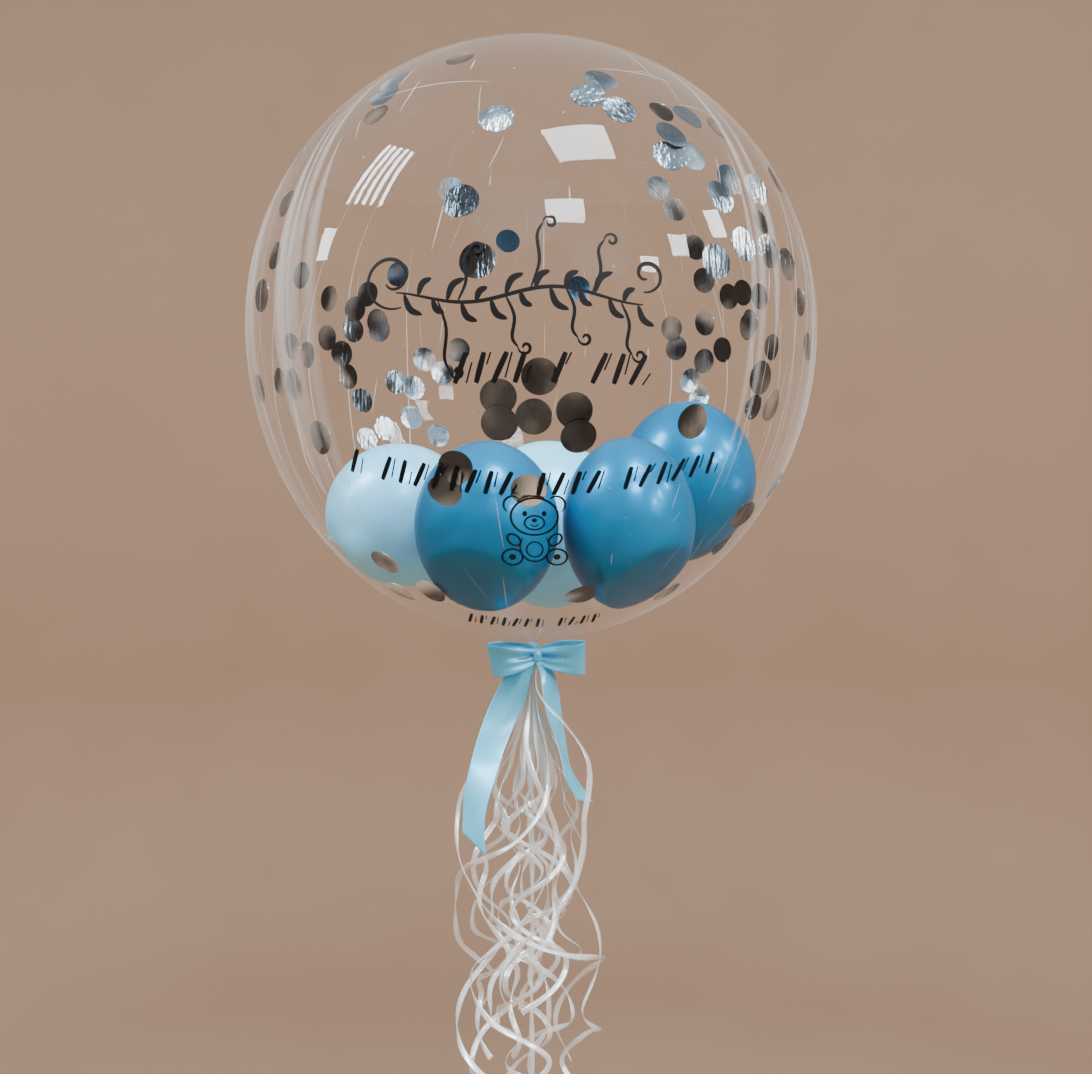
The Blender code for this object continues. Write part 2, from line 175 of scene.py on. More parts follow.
# Sizes shared with the part's source
BUBBLE_RADIUS = 0.250
BUBBLE_LOWER_HEIGHT = 0.272
MOUTH_HEIGHT = 0.007
NECK_RADIUS = 0.0038
NECK_FLARE = 0.0005
NECK_END_DEPTH = 0.0165
MOUTH_BLEND = 0.008
MOUTH_FILLET = ((0.30, 0.25), (0.06, 0.60))
SATIN_WIDTH = 0.0285
WRAP_TOP = 0.0032
WRAP_BOTTOM = -0.0090
WRAP_THICKNESS = 0.0012
KNOT_HALF_WIDTH = 0.0042
KNOT_HALF_THICKNESS = 0.0052
KNOT_HALF_HEIGHT = 0.0066
KNOT_SIDE = 0.0050
KNOT_DEPTH = 0.0078
KNOT_SINK = 0.0028
LOOP_REACH = 0.0415
LOOP_DEPTH = 0.018
LOOP_GATHER = 0.0052
LOOP_END_GAP = 0.0011
LOOP_TILT = 0.0020
LEFT_LOOP_LEAN = 0.0030
LEFT_LOOP_DROOP = 0.0040
RIGHT_LOOP_LEAN = 0.0
RIGHT_LOOP_DROOP = 0.0018
LOOP_END_SHARE = 0.02
LEFT_TAIL_DROP = 0.158
RIGHT_TAIL_DROP = 0.125
TAIL_CLEARANCE = 0.0022
TAIL_STEP = 0.0095
TAIL_CUT_SLANT = 0.62
TAIL_CUT_ROWS = 3
TAIL_SMOOTHINGS = 3
CURLING_COUNT = 19
CURLING_WIDTH = 0.005
PACK_SPACING = 0.00125
PACK_DEPTH = 0.030
PACKED_WIDTH = 0.0013
SPREAD_DEPTH = 0.150
SWELL_LEAD = 0.020
SWELL_LENGTH = 0.120
SWELL_START_SHARE = 0.84
INNER_RADIUS = 0.0125
SHELL_GAP = 0.0033
BUNCH_LEAN = 0.12
SWING = 0.036
SWING_LIMIT = 1.1
SWING_START = 0.080
SWING_FULL = 0.190
SHORTEST_HANG = 0.262
LONGEST_HANG = 0.440
HANG_START_SHARE = 0.35
SHORTEST_WAVE = 0.090
LONGEST_WAVE = 0.135
LEAST_VIGOUR = 0.75
MOST_VIGOUR = 1.25
ROUTE_STEPS = 300
FRONT_CURL_TURN = 0.8
TETHER_HANG = 0.418
TETHER_KNOT_RADIUS = 0.0034
TETHER_LOOP_REACH = 0.026
TETHER_LOOP_DEPTH = 0.015
TETHER_LOOP_GATHER = 0.0015
GAP = 0.0003
GOLDEN_ANGLE = math.radians(137.508)
GOLDEN_SHARE = 0.618034
CURVE_DETAIL = 20

# Sizes of what only this script makes
LOOP_PLEAT = 0.0046
FILM_FACETS = 128
FILM_UPPER_STEPS = 40
FILM_LOWER_STEPS = 44
NECK_PLEATS = 14
NECK_PLEAT_DEPTH = 0.16
PRINT_LIFT = 0.0005
PRINT_THICKNESS = 0.00012
FLOURISH_LINE = 0.0028
FLOURISH_HEIGHT = 0.2640
FLOURISH_ENDS = (-0.0920, 0.0800)
FLOURISH_LEAVES = 17
STEM_STEPS = 24
SPIRAL_STEPS = 26
BEAR_MIDDLE = 0.0042
BEAR_HEAD_HEIGHT = 0.1132

# Streaks in the film: pairs are the least and the most, and angles are in degrees
CREASE_INSET = 0.0007
SHORT_CREASES = 150
SHORT_CREASE_UP = (-62, 58)
SHORT_CREASE_REACH = (1.5, 13.0)
SHORT_CREASE_WIDTH = (0.0003, 0.0010)
CREASE_SLANT = 0.22
CREASE_TOP = 80
RIM_CREASES = (58, 64, 69, 74, 79, 100, 108, 117, 128, 145)
RIM_CREASE_LOW = (-66, -30)
RIM_CREASE_HIGH = (15, 62)
RIM_CREASE_SWAY = (0.6, 1.8)
RIM_CREASE_WIDTH = (0.0007, 0.0014)
LONG_STREAK_STEPS = 32
CROWN_ARCS = 12
ARC_UP = (34, 76)
ARC_REACH = (8, 30)
ARC_SWAY = 1.2
ARC_WIDTH = (0.0004, 0.0010)
SPECKS = 160
SPECK_UP = (-60, 60)
SPECK_RADIUS = (0.0003, 0.0007)
# The bands near the rim are painted sheen, more and wider on the lit left side
BAND_SIDES = ((-1, 11, 0.024), (1, 7, 0.014))  # Side, how many, and the widest
NARROWEST_BAND = 0.004
BAND_REACH = (40, 86)
BAND_LOW = (-48, -8)
BAND_HIGH = (12, 56)
BAND_LAYERS = 2
BAND_LAYER_GAP = 0.0001

# Confetti, ribbon, wrap, knots and small balloons
CONFETTI_RADIUS = 0.0130
CONFETTI_THICKNESS = 0.00015
CONFETTI_INSET = 0.0016
CONFETTI_SIDES = 32
BALLOON_GAP = 0.0030
RIBBON_STEP = 0.003
RIBBON_SKIN = 0.00025
RIBBON_TURN = 1.05
RIBBON_TURN_RATE = 0.11
RIBBON_PHASE_STEP = 1.7
FRONT_CURL_PHASE = 2.0
RIBBON_TURN_STARTS = 4
RIBBON_TURN_FULL_SHARE = 0.3
RIBBON_BOW = 0.16
RIBBON_SPOTS = (-1.0, -0.5, 0.0, 0.5, 1.0)
RIBS_ACROSS = 9.0
THREADS_PER_METRE = 2600.0
WRAP_FOLD = 0.00022
WRAP_FOLDS = 11
WRAP_FACETS = 72
KNOT_STEPS = 24
KNOT_FACETS = 40
KNOT_PLEAT = 0.05
KNOT_END_SHARE = 0.05
SMALL_BALLOON_STEPS = 41
SMALL_BALLOON_FACETS = 56
SMALL_BALLOON_DRAW = 1.14
SATIN_SKIN = 0.0004

# Photograph: its width in pixels, the sensor in mm, and the focal length in pixels
PHOTO_WIDTH = 1092
SENSOR_WIDTH = 36.0
FOCAL_PIXELS = 1137
CAMERA_PLACE = Vector((0.0126, -1.0242, 0.0982))

# Room and windows, their power in watts
FLOOR_HEIGHT = -1.30
ROOM_FLAT_RADIUS = 1.2
ROOM_RADIUS = 3.4
ROOM_HEIGHT = 4.1
ROOM_CURVE = 0.9
ROOM_CURVE_STEPS = 12
ROOM_FACETS = 96
DAYLIGHT = (0.86, 0.95, 1.0)
LIGHT_AIM = Vector((0.0, 0.0, 0.2))
SKY_COLOUR = (0.85, 0.93, 1.0, 1.0)
SKY_STRENGTH = 1.06
LEFT_WINDOW_PANES = 5
LEFT_WINDOW_PLACE = Vector((-1.9, -0.64, 2.19))
LEFT_WINDOW_WAY = Vector((0.35, -0.94, 0.0))
LEFT_PANE_SPACING = 0.155
LEFT_PANE_SIZE = (0.075, 0.90)
LEFT_PANE_POWER = 26

BUBBLE_CENTRE_HEIGHT = MOUTH_HEIGHT + BUBBLE_LOWER_HEIGHT
WRAP_INNER_RADIUS = NECK_RADIUS + GAP
WRAP_OUTER_RADIUS = WRAP_INNER_RADIUS + WRAP_THICKNESS
KNOT_HALF_SIZE = Vector((KNOT_HALF_WIDTH, KNOT_HALF_THICKNESS, KNOT_HALF_HEIGHT))
KNOT = Vector((KNOT_SIDE, KNOT_SINK - WRAP_OUTER_RADIUS - KNOT_HALF_THICKNESS, -KNOT_DEPTH))
BUNCH_TOP = NECK_END_DEPTH + GAP
FRONT = Vector((0.0, -1.0, 0.0))
RIGHT = Vector((1.0, 0.0, 0.0))
UP = Vector((0.0, 0.0, 1.0))


def ease(value, start, end):
    """0 before start, 1 after end, and smooth between them."""
    share = min(max((value - start) / (end - start), 0.0), 1.0)
    return share * share * (3.0 - 2.0 * share)


def mix(a, b, share):
    return a + (b - a) * share


def shares(count):
    """Even shares of a whole, from 0 to 1."""
    return [step / count for step in range(count + 1)]


def smooth_curve(points):
    """Many close points on the smooth curve through the given ones."""
    ends = [2 * points[0] - points[1]] + list(points) + [2 * points[-1] - points[-2]]
    fine = []
    for before, start, end, after in zip(ends, ends[1:], ends[2:], ends[3:]):
        for step in range(CURVE_DETAIL):
            t = step / CURVE_DETAIL
            squared = 2 * before - 5 * start + 4 * end - after
            cubed = 3 * start - before - 3 * end + after
            fine.append(0.5 * (2 * start + (end - before) * t + squared * t**2 + cubed * t**3))
    fine.append(points[-1])
    return fine


def even_points(fine, spacing, measured=3):
    """The same line with its points at even spacing, measured on that many of their numbers."""
    lengths = [0.0]
    for start, end in zip(fine, fine[1:]):
        lengths.append(lengths[-1] + (end - start).resized(measured).length)
    count = max(2, round(lengths[-1] / spacing))
    found = []
    at = 0
    for step in range(count + 1):
        wanted = lengths[-1] * step / count
        while at < len(fine) - 2 and lengths[at + 1] < wanted:
            at += 1
        share = (wanted - lengths[at]) / (lengths[at + 1] - lengths[at])
        found.append(fine[at] + (fine[at + 1] - fine[at]) * min(share, 1.0))
    return found


def directions(points):
    """The unit direction of a line at each of its points."""
    count = len(points)
    return [
        (points[min(i + 1, count - 1)] - points[max(i - 1, 0)]).normalized() for i in range(count)
    ]


def line_length(points):
    return sum((end - start).length for start, end in zip(points, points[1:]))


# Materials


def shader_of(material):
    return material.node_tree.nodes["Principled BSDF"]


def new_material(name, colour, roughness, **values):
    """A material with its plain values set on the shader's sockets by name."""
    material = bpy.data.materials.new(name)
    material.use_nodes = True
    inputs = shader_of(material).inputs
    inputs["Base Color"].default_value = (*colour, 1.0)
    inputs["Roughness"].default_value = roughness
    for socket, value in values.items():
        inputs[socket.replace("_", " ")].default_value = value
    return material


def feed_shader(material, value, socket):
    material.node_tree.links.new(value, shader_of(material).inputs[socket])


def add_node(tree, kind, **values):
    """A node with its sockets set by name, or its settings where no socket has the name."""
    node = tree.nodes.new(kind)
    for name, value in values.items():
        socket = node.inputs.get(name.replace("_", " "))
        if socket is None:
            setattr(node, name.lower(), value)
        else:
            socket.default_value = value
    return node


def surface_noise(material, scale, detail=3.0, stretch=(1.0, 1.0, 1.0)):
    """Noise that is fixed to the piece, stretched along its axes. Its scale is per metre."""
    tree = material.node_tree
    place = add_node(tree, "ShaderNodeTexCoord")
    mapping = add_node(tree, "ShaderNodeMapping")
    mapping.inputs["Scale"].default_value = stretch
    noise = add_node(tree, "ShaderNodeTexNoise", Scale=scale, Detail=detail)
    tree.links.new(place.outputs["Object"], mapping.inputs["Vector"])
    tree.links.new(mapping.outputs["Vector"], noise.inputs["Vector"])
    return noise.outputs["Fac"]


def add_tones(material, value, stops):
    """The shader's colour from a ramp over a value: stops are (position, colour)."""
    node = add_node(material.node_tree, "ShaderNodeValToRGB")
    elements = node.color_ramp.elements
    while len(elements) < len(stops):
        elements.new(0.5)
    for element, (position, colour) in zip(elements, stops):
        element.position = position
        element.color = (*colour, 1.0)
    material.node_tree.links.new(value, node.inputs["Fac"])
    feed_shader(material, node.outputs["Color"], "Base Color")


def add_roughness(material, value, low, high):
    """The shader's roughness from a value, its 0 to 1 taken to low to high."""
    node = add_node(material.node_tree, "ShaderNodeMapRange")
    node.inputs["To Min"].default_value = low
    node.inputs["To Max"].default_value = high
    material.node_tree.links.new(value, node.inputs["Value"])
    feed_shader(material, node.outputs["Result"], "Roughness")


def add_bump(material, height, strength, distance):
    bump = add_node(material.node_tree, "ShaderNodeBump", Strength=strength, Distance=distance)
    material.node_tree.links.new(height, bump.inputs["Height"])
    feed_shader(material, bump.outputs["Normal"], "Normal")
    return bump.outputs["Normal"]


def stripes(material, across, count):
    """Even soft stripes, 0 to 1, that many over one unit of a UV direction."""
    tree = material.node_tree
    place = add_node(tree, "ShaderNodeUVMap")
    split = add_node(tree, "ShaderNodeSeparateXYZ")
    turn = add_node(tree, "ShaderNodeMath", operation="MULTIPLY")
    turn.inputs[1].default_value = count * 2 * math.pi
    wave = add_node(tree, "ShaderNodeMath", operation="SINE")
    tree.links.new(place.outputs["UV"], split.inputs["Vector"])
    tree.links.new(split.outputs["X" if across else "Y"], turn.inputs[0])
    tree.links.new(turn.outputs["Value"], wave.inputs[0])
    lift = add_node(tree, "ShaderNodeMapRange")
    lift.inputs["From Min"].default_value = -1.0
    tree.links.new(wave.outputs["Value"], lift.inputs["Value"])
    return lift.outputs["Result"]


def film_material():
    """Thin clear film: light goes straight through it, and it is brighter towards its rim."""
    material = new_material(
        "clear_film",
        (1.0, 1.0, 1.0),
        0.02,
        Alpha=0.32,
        Transmission_Weight=1.0,
        IOR=1.0,
        Sheen_Weight=0.45,
        Sheen_Roughness=0.30,
        Coat_Weight=1.0,
        Coat_IOR=1.55,
        Coat_Roughness=0.02,
    )
    ripples = surface_noise(material, 7.0, 4.0, (1.0, 1.0, 0.35))
    add_tones(material, ripples, ((0.35, (0.975, 0.985, 0.99)), (0.70, (1.0, 1.0, 1.0))))
    bump = add_bump(material, ripples, 0.16, 0.004)
    feed_shader(material, bump, "Coat Normal")
    return material


def crease_highlight_and_dust_material():
    """The pale line where the film was creased, its paleness a painted highlight. The small specks of dust take it
    too.
    """
    material = new_material("film_crease_highlight_and_dust", (0.90, 0.90, 0.90), 0.25, Alpha=0.42)
    breaks = surface_noise(material, 160.0, 2.0)
    add_tones(material, breaks, ((0.30, (0.70, 0.72, 0.73)), (0.65, (0.96, 0.96, 0.96))))
    add_roughness(material, breaks, 0.1, 0.5)
    return material


def painted_rim_sheen_material():
    """Painted rim sheen: a faint soft white that breaks up along its length."""
    material = new_material("film_painted_rim_sheen", (0.93, 0.94, 0.95), 0.45, Alpha=0.10)
    breaks = surface_noise(material, 30.0, 3.0, (1.0, 1.0, 0.3))
    add_tones(material, breaks, ((0.35, (0.72, 0.72, 0.73)), (0.65, (0.97, 0.98, 0.99))))
    add_roughness(material, breaks, 0.25, 0.60)
    return material


def latex_material(name, deep, light, metallic):
    """Pearly latex: its colour drifts a little, and its gloss is soft."""
    material = new_material(
        name,
        light,
        0.32,
        Metallic=metallic,
        Specular_IOR_Level=0.15,
        Specular_Tint=(*light, 1.0),
        Coat_Weight=0.16,
        Coat_Roughness=0.14,
    )
    drift = surface_noise(material, 22.0, 3.0)
    add_tones(material, drift, ((0.30, deep), (0.72, light)))
    add_roughness(material, surface_noise(material, 40.0, 2.0), 0.24, 0.38)
    return material


def foil_material(name, tones):
    """Mirror foil with drag lines. Its tone changes from disc to disc."""
    material = new_material(name, (0.50, 0.53, 0.56), 0.14, Metallic=1.0)
    add_tones(material, surface_noise(material, 26.0, 1.0), tones)
    drag = surface_noise(material, 320.0, 3.0, (1.0, 1.0, 0.12))
    add_roughness(material, drag, 0.06, 0.30)
    add_bump(material, drag, 0.80, 0.0014)
    return material


def print_material():
    """Matt black vinyl, cut and stuck on the film."""
    black = (0.003, 0.003, 0.004)
    material = new_material("black_print", black, 0.60, Specular_IOR_Level=0.2)
    grain = surface_noise(material, 500.0, 2.0)
    add_roughness(material, grain, 0.50, 0.70)
    add_bump(material, grain, 0.08, 0.0002)
    return material


def satin_material():
    """Satin: fine threads across the ribbon, a soft sheen and slight tone drift."""
    material = new_material(
        "aqua_satin",
        (0.14, 0.66, 0.97),
        0.30,
        Metallic=0.30,
        Sheen_Weight=0.30,
        Sheen_Roughness=0.35,
        Sheen_Tint=(0.62, 0.90, 1.0, 1.0),
        Anisotropic=0.55,
    )
    drift = surface_noise(material, 55.0, 3.0)
    add_tones(material, drift, ((0.30, (0.11, 0.61, 0.93)), (0.70, (0.17, 0.72, 1.0))))
    threads = stripes(material, False, THREADS_PER_METRE)
    add_roughness(material, threads, 0.24, 0.36)
    add_bump(material, threads, 0.12, 0.00006)
    return material


def curling_material():
    """Pearly curling ribbon: thin, slightly see-through, with fine ribs along it."""
    material = new_material(
        "white_ribbon",
        (0.84, 0.87, 0.87),
        0.24,
        Alpha=0.50,
        Metallic=0.35,
        Coat_Weight=1.0,
        Coat_Roughness=0.10,
    )
    tones = ((0.30, (0.90, 0.95, 0.97)), (0.52, (1.0, 1.0, 0.99)), (0.72, (0.96, 0.94, 0.92)))
    add_tones(material, surface_noise(material, 45.0, 2.0), tones)
    ribs = stripes(material, True, RIBS_ACROSS)
    add_roughness(material, ribs, 0.12, 0.28)
    add_bump(material, ribs, 0.25, 0.00012)
    return material


def room_material():
    """Plain warm paint."""
    material = new_material("pale_room", (0.290, 0.176, 0.111), 0.9)
    speck = surface_noise(material, 3.0, 2.0)
    add_tones(material, speck, ((0.3, (0.284, 0.172, 0.108)), (0.7, (0.296, 0.180, 0.114))))
    return material


# Each latex: its deep and its light tone, and how metallic it is
LATEX = {
    "pale": ((0.19, 0.64, 0.98), (0.26, 0.74, 1.0), 0.12),
    "blue": ((0.0003, 0.150, 0.32), (0.0006, 0.195, 0.40), 0.35),
    "deep": ((0.0002, 0.135, 0.30), (0.0005, 0.180, 0.37), 0.35),
}
# Tones of the foil, tinted blue as a painted reflection. The discs in the middle of the near film take the darkest, a
# painted shade where they face the dark front of the room
SILVER_TONES = (
    (0.43, (0.055, 0.07, 0.085)),
    (0.50, (0.20, 0.26, 0.31)),
    (0.58, (0.46, 0.56, 0.63)),
    (0.66, (0.85, 0.93, 0.98)),
)
PAINTED_SHADE_FOIL_TONES = ((0.35, (0.035, 0.045, 0.055)), (0.55, (0.10, 0.13, 0.155)), (0.70, (0.34, 0.40, 0.44)))


# Pieces


def mesh_object(name, builder, material, smooth=True):
    """The built mesh as an object in the scene."""
    mesh = bpy.data.meshes.new(name)
    builder.to_mesh(mesh)
    builder.free()
    mesh.materials.append(material)
    if smooth:
        mesh.shade_smooth()
    obj = bpy.data.objects.new(name, mesh)
    bpy.context.scene.collection.objects.link(obj)
    return obj


def finish_piece(name, builder, material, slot=None, smooth=True):
    """The built mesh as a piece of the balloon, which takes its finish from a slot where one is given."""
    obj = mesh_object(name, builder, material, smooth)
    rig.ride(obj, "root")
    if slot:
        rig.slot(obj, slot)
    return obj


def fill_grid(builder, rows, closed=False):
    """Faces over rows of points, with a UV map: X across a row, and Y the metres along."""
    layer = builder.loops.layers.uv.verify()
    grid = [[builder.verts.new(point) for point in row] for row in rows]
    columns = len(rows[0])
    spans = columns if closed else columns - 1
    along = 0.0
    for at, (near, far) in enumerate(zip(grid, grid[1:])):
        middle = columns // 2
        next_along = along + (rows[at + 1][middle] - rows[at][middle]).length
        for i in range(spans):
            j = (i + 1) % columns
            face = builder.faces.new((near[i], near[j], far[j], far[i]))
            corners = ((i, along), (i + 1, along), (i + 1, next_along), (i, next_along))
            for loop, (across, down) in zip(face.loops, corners):
                loop[layer].uv = (across / spans, down)
        along = next_along
    return grid


def thicken(obj, thickness):
    """The piece, given its thickness to both sides of its faces."""
    skin = obj.modifiers.new("Thickness", "SOLIDIFY")
    skin.thickness = thickness
    skin.offset = 0.0
    return obj


def ribbon_piece(name, rows, thickness, material, slot, smoothing=0):
    """A ribbon through rows of points."""
    builder = bmesh.new()
    fill_grid(builder, rows)
    obj = finish_piece(name, builder, material, slot)
    if smoothing:
        smooth = obj.modifiers.new("Smooth", "SUBSURF")
        smooth.levels = smoothing
        smooth.render_levels = smoothing
        smooth.boundary_smooth = "PRESERVE_CORNERS"
    return thicken(obj, thickness)


def circle(height, count, radius, wave=0.0, waves=0):
    """Points round the Z axis at a height, on a radius that may have waves in it."""
    found = []
    for step in range(count):
        angle = 2 * math.pi * step / count
        reach = radius + wave * math.cos(angle * waves)
        found.append(Vector((reach * math.cos(angle), reach * math.sin(angle), height)))
    return found


# Curling ribbons, on the same routes as their solids


def shell_radius(order, depth):
    packed = PACK_SPACING * math.sqrt(order + 0.5)
    swell = ease(depth, SPREAD_DEPTH - SWELL_LEAD, SPREAD_DEPTH + SWELL_LENGTH)
    full = (INNER_RADIUS + SHELL_GAP * order) * mix(SWELL_START_SHARE, 1.0, swell)
    return mix(packed, full, ease(depth, PACK_DEPTH, SPREAD_DEPTH))


def shell_point(order, angle, depth):
    """A point on a shell, its angle measured from the front towards +X."""
    radius = shell_radius(order, depth)
    outward = Vector((math.sin(angle), -math.cos(angle), 0.0))
    lean = Vector((-BUNCH_LEAN * (radius - shell_radius(0, depth)), 0.0, 0.0))
    return radius * outward + lean - Vector((0.0, 0.0, depth))


def bunch_front(x, depth):
    """How far forward the outermost shell reaches at this x and depth."""
    order = CURLING_COUNT - 1
    radius = shell_radius(order, depth)
    lean = -BUNCH_LEAN * (radius - shell_radius(0, depth))
    reach = radius**2 - (x - lean) ** 2
    return -math.sqrt(reach) if reach > 0 else 0.0


# Depth, and angle from the front in degrees, down each ribbon that shows on the bunch's outside
OUTER_ROUTES = {
    13: ((0.030, -12), (0.080, -8), (0.108, 8), (0.136, 24), (0.166, 34), (0.195, 22), (0.223, 4),
         (0.242, -12), (0.258, -33), (0.280, -58), (0.300, -58), (0.318, -33), (0.333, 2),
         (0.350, 22), (0.366, 10), (0.385, -22), (0.405, -40), (0.432, -25)),
    14: ((0.030, 125), (0.080, 118), (0.105, 80), (0.130, 46), (0.152, 55), (0.172, 74),
         (0.190, 95), (0.210, 118), (0.240, 142), (0.270, 165), (0.300, 150), (0.328, 172)),
    15: ((0.030, -97), (0.080, -100), (0.120, -125), (0.160, -150), (0.200, -122), (0.235, -135),
         (0.270, -165), (0.300, -145), (0.322, -112), (0.342, -80), (0.356, -50), (0.372, -15)),
    16: ((0.030, 40), (0.080, 36), (0.115, 26), (0.140, 12), (0.163, -10), (0.178, -36),
         (0.192, -62), (0.212, -84), (0.240, -95), (0.272, -110), (0.297, -134), (0.320, -152),
         (0.350, -138)),
    17: ((0.030, 177), (0.080, 170), (0.120, 140), (0.155, 125), (0.190, 150), (0.230, 135),
         (0.262, 100), (0.290, 62), (0.312, 48), (0.335, 70), (0.350, 98), (0.368, 126),
         (0.400, 150), (0.428, 130)),
    18: ((0.030, -45), (0.080, -52), (0.110, -76), (0.140, -92), (0.170, -76), (0.200, -44),
         (0.225, -20), (0.243, 6), (0.257, 34), (0.270, 66), (0.286, 96), (0.310, 128),
         (0.340, 150), (0.370, 156), (0.400, 142)),
}

# Points down the ribbon that springs out in front
FRONT_CURL_ROUTE = (
    (0.0036, -0.0066, -BUNCH_TOP), (0.0037, -0.0086, -0.0230), (0.0036, -0.0128, -0.0300),
    (0.0058, -0.0200, -0.0390), (0.0143, -0.0340, -0.0495), (0.0272, -0.0480, -0.0603),
    (0.0399, -0.0580, -0.0749), (0.0475, -0.0630, -0.0884), (0.0496, -0.0655, -0.1014),
    (0.0480, -0.0690, -0.1181), (0.0445, -0.0720, -0.1367), (0.0436, -0.0730, -0.1627),
    (0.0365, -0.0740, -0.1930), (0.0230, -0.0760, -0.2170), (0.0020, -0.0780, -0.2330),
    (-0.0180, -0.0790, -0.2520), (-0.0260, -0.0790, -0.2760), (-0.0160, -0.0790, -0.3000),
)


def wandering_route(order, hang, wavelength, phase, vigour):
    """Depth and angle down a ribbon inside the bunch, which swings more the lower it hangs."""
    route = []
    for share in shares(ROUTE_STEPS):
        depth = mix(BUNCH_TOP, hang, share)
        swing = min(SWING * vigour, SWING_LIMIT * shell_radius(order, SPREAD_DEPTH))
        reach = swing / shell_radius(order, max(depth, SWING_START))
        wave = math.sin(2 * math.pi * (depth - SWING_START) / wavelength + phase)
        angle = order * GOLDEN_ANGLE + reach * wave * ease(depth, SWING_START, SWING_FULL)
        route.append((depth, angle))
    return route


def outer_route(order):
    knots = [Vector((depth, math.radians(angle))) for depth, angle in OUTER_ROUTES[order]]
    knots[0].y = math.remainder(order * GOLDEN_ANGLE, 2 * math.pi)
    top = Vector((BUNCH_TOP, knots[0].y))
    return [tuple(knot) for knot in smooth_curve([top] + knots)]


def curl_lines():
    """The middle line of each curling ribbon in the bunch."""
    chance = random.Random(11)
    for order in range(CURLING_COUNT):
        share = (HANG_START_SHARE + order * GOLDEN_SHARE) % 1.0
        hang = mix(SHORTEST_HANG, LONGEST_HANG, share)
        wavelength = chance.uniform(SHORTEST_WAVE, LONGEST_WAVE)
        phase = chance.uniform(0.0, 2 * math.pi)
        vigour = chance.uniform(LEAST_VIGOUR, MOST_VIGOUR)
        if order in OUTER_ROUTES:
            route = outer_route(order)
        else:
            route = wandering_route(order, hang, wavelength, phase, vigour)
        fine = [shell_point(order, angle, depth) for depth, angle in route]
        yield order, even_points(fine, RIBBON_STEP)


def curl_width(depth):
    return mix(PACKED_WIDTH, CURLING_WIDTH, ease(depth, PACK_DEPTH, SWING_START))


def curl_rows(points, facing, phase):
    """Rows across a curling ribbon: it is bowed across its width and turns a little to and fro."""
    rows = []
    full = len(points) * RIBBON_TURN_FULL_SHARE
    for at, (point, forward, face) in enumerate(zip(points, directions(points), facing)):
        turn = RIBBON_TURN * math.sin(at * RIBBON_TURN_RATE + phase)
        turn *= ease(at, RIBBON_TURN_STARTS, full)
        side = forward.cross(face).normalized()
        side.rotate(Matrix.Rotation(turn, 3, forward))
        out = side.cross(forward).normalized()
        half = curl_width(-point.z) / 2
        rows.append([point + (side * s - out * RIBBON_BOW * s**2) * half for s in RIBBON_SPOTS])
    return rows


def declare_curl(piece, points, far_end, lay, pieces=()):
    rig.cord(
        piece,
        exit=points[0],
        length=line_length(points),
        diameter=CURLING_WIDTH,
        far_end=far_end,
        stiffness="limp",
        lay=lay,
        path=points,
        with_pieces=pieces,
    )


def build_curl(number, points, facing, phase, material):
    """One curling ribbon with a bare end, in place of its solid."""
    rows = curl_rows(points, facing, phase)
    piece = ribbon_piece(f"curl_{number:02d}", rows, RIBBON_SKIN, material, "white_ribbon")
    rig.replaces(piece, f"curling_ribbon_{number:02d}")
    declare_curl(piece, points, "bare", "hanging")


def build_curling_ribbons(material):
    for order, points in curl_lines():
        facing = []
        for point in points:
            lean = -BUNCH_LEAN * (shell_radius(order, -point.z) - shell_radius(0, -point.z))
            facing.append(Vector((point.x - lean, point.y, 0.0)).normalized())
        build_curl(order + 1, points, facing, order * RIBBON_PHASE_STEP, material)


def build_front_curl(material):
    """The one ribbon that springs out in front of the bunch and over the bow's right tail."""
    points = even_points(smooth_curve([Vector(spot) for spot in FRONT_CURL_ROUTE]), RIBBON_STEP)
    facing = []
    for point in points:
        outward = Vector((point.x, point.y, 0.0)).normalized()
        facing.append(FRONT.lerp(outward, FRONT_CURL_TURN).normalized())
    build_curl(CURLING_COUNT + 1, points, facing, FRONT_CURL_PHASE, material)


def build_tether(material):
    """The straight ribbon down the middle, with the knot and loop on its end."""
    top = Vector((0.0, 0.0, -BUNCH_TOP))
    end = Vector((0.0, 0.0, -TETHER_HANG))
    points = even_points([top, end], RIBBON_STEP)
    rows = curl_rows(points, [FRONT] * len(points), 0.0)
    tether = ribbon_piece("tether", rows, RIBBON_SKIN, material, "white_ribbon")
    centre = end - UP * (GAP + TETHER_KNOT_RADIUS)
    rows = loop_rows(centre, -UP, RIGHT, FRONT, steps=40, columns=5, reach=TETHER_LOOP_REACH,
                     depth=TETHER_LOOP_DEPTH, gather=TETHER_LOOP_GATHER, width=CURLING_WIDTH)
    loop = ribbon_piece("tether_end_loop", rows, RIBBON_SKIN, material, "white_ribbon")
    knot = wound_knot("tether_knot", centre, Vector((1, 1, 1)) * TETHER_KNOT_RADIUS, material)
    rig.slot(knot, "white_ribbon")
    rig.replaces(tether, "tether_ribbon")
    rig.replaces(loop, "tether_loop")
    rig.replaces(knot, "tether_loop")
    declare_curl(tether, points, "knot", "taut", [loop, knot])


# Satin bow


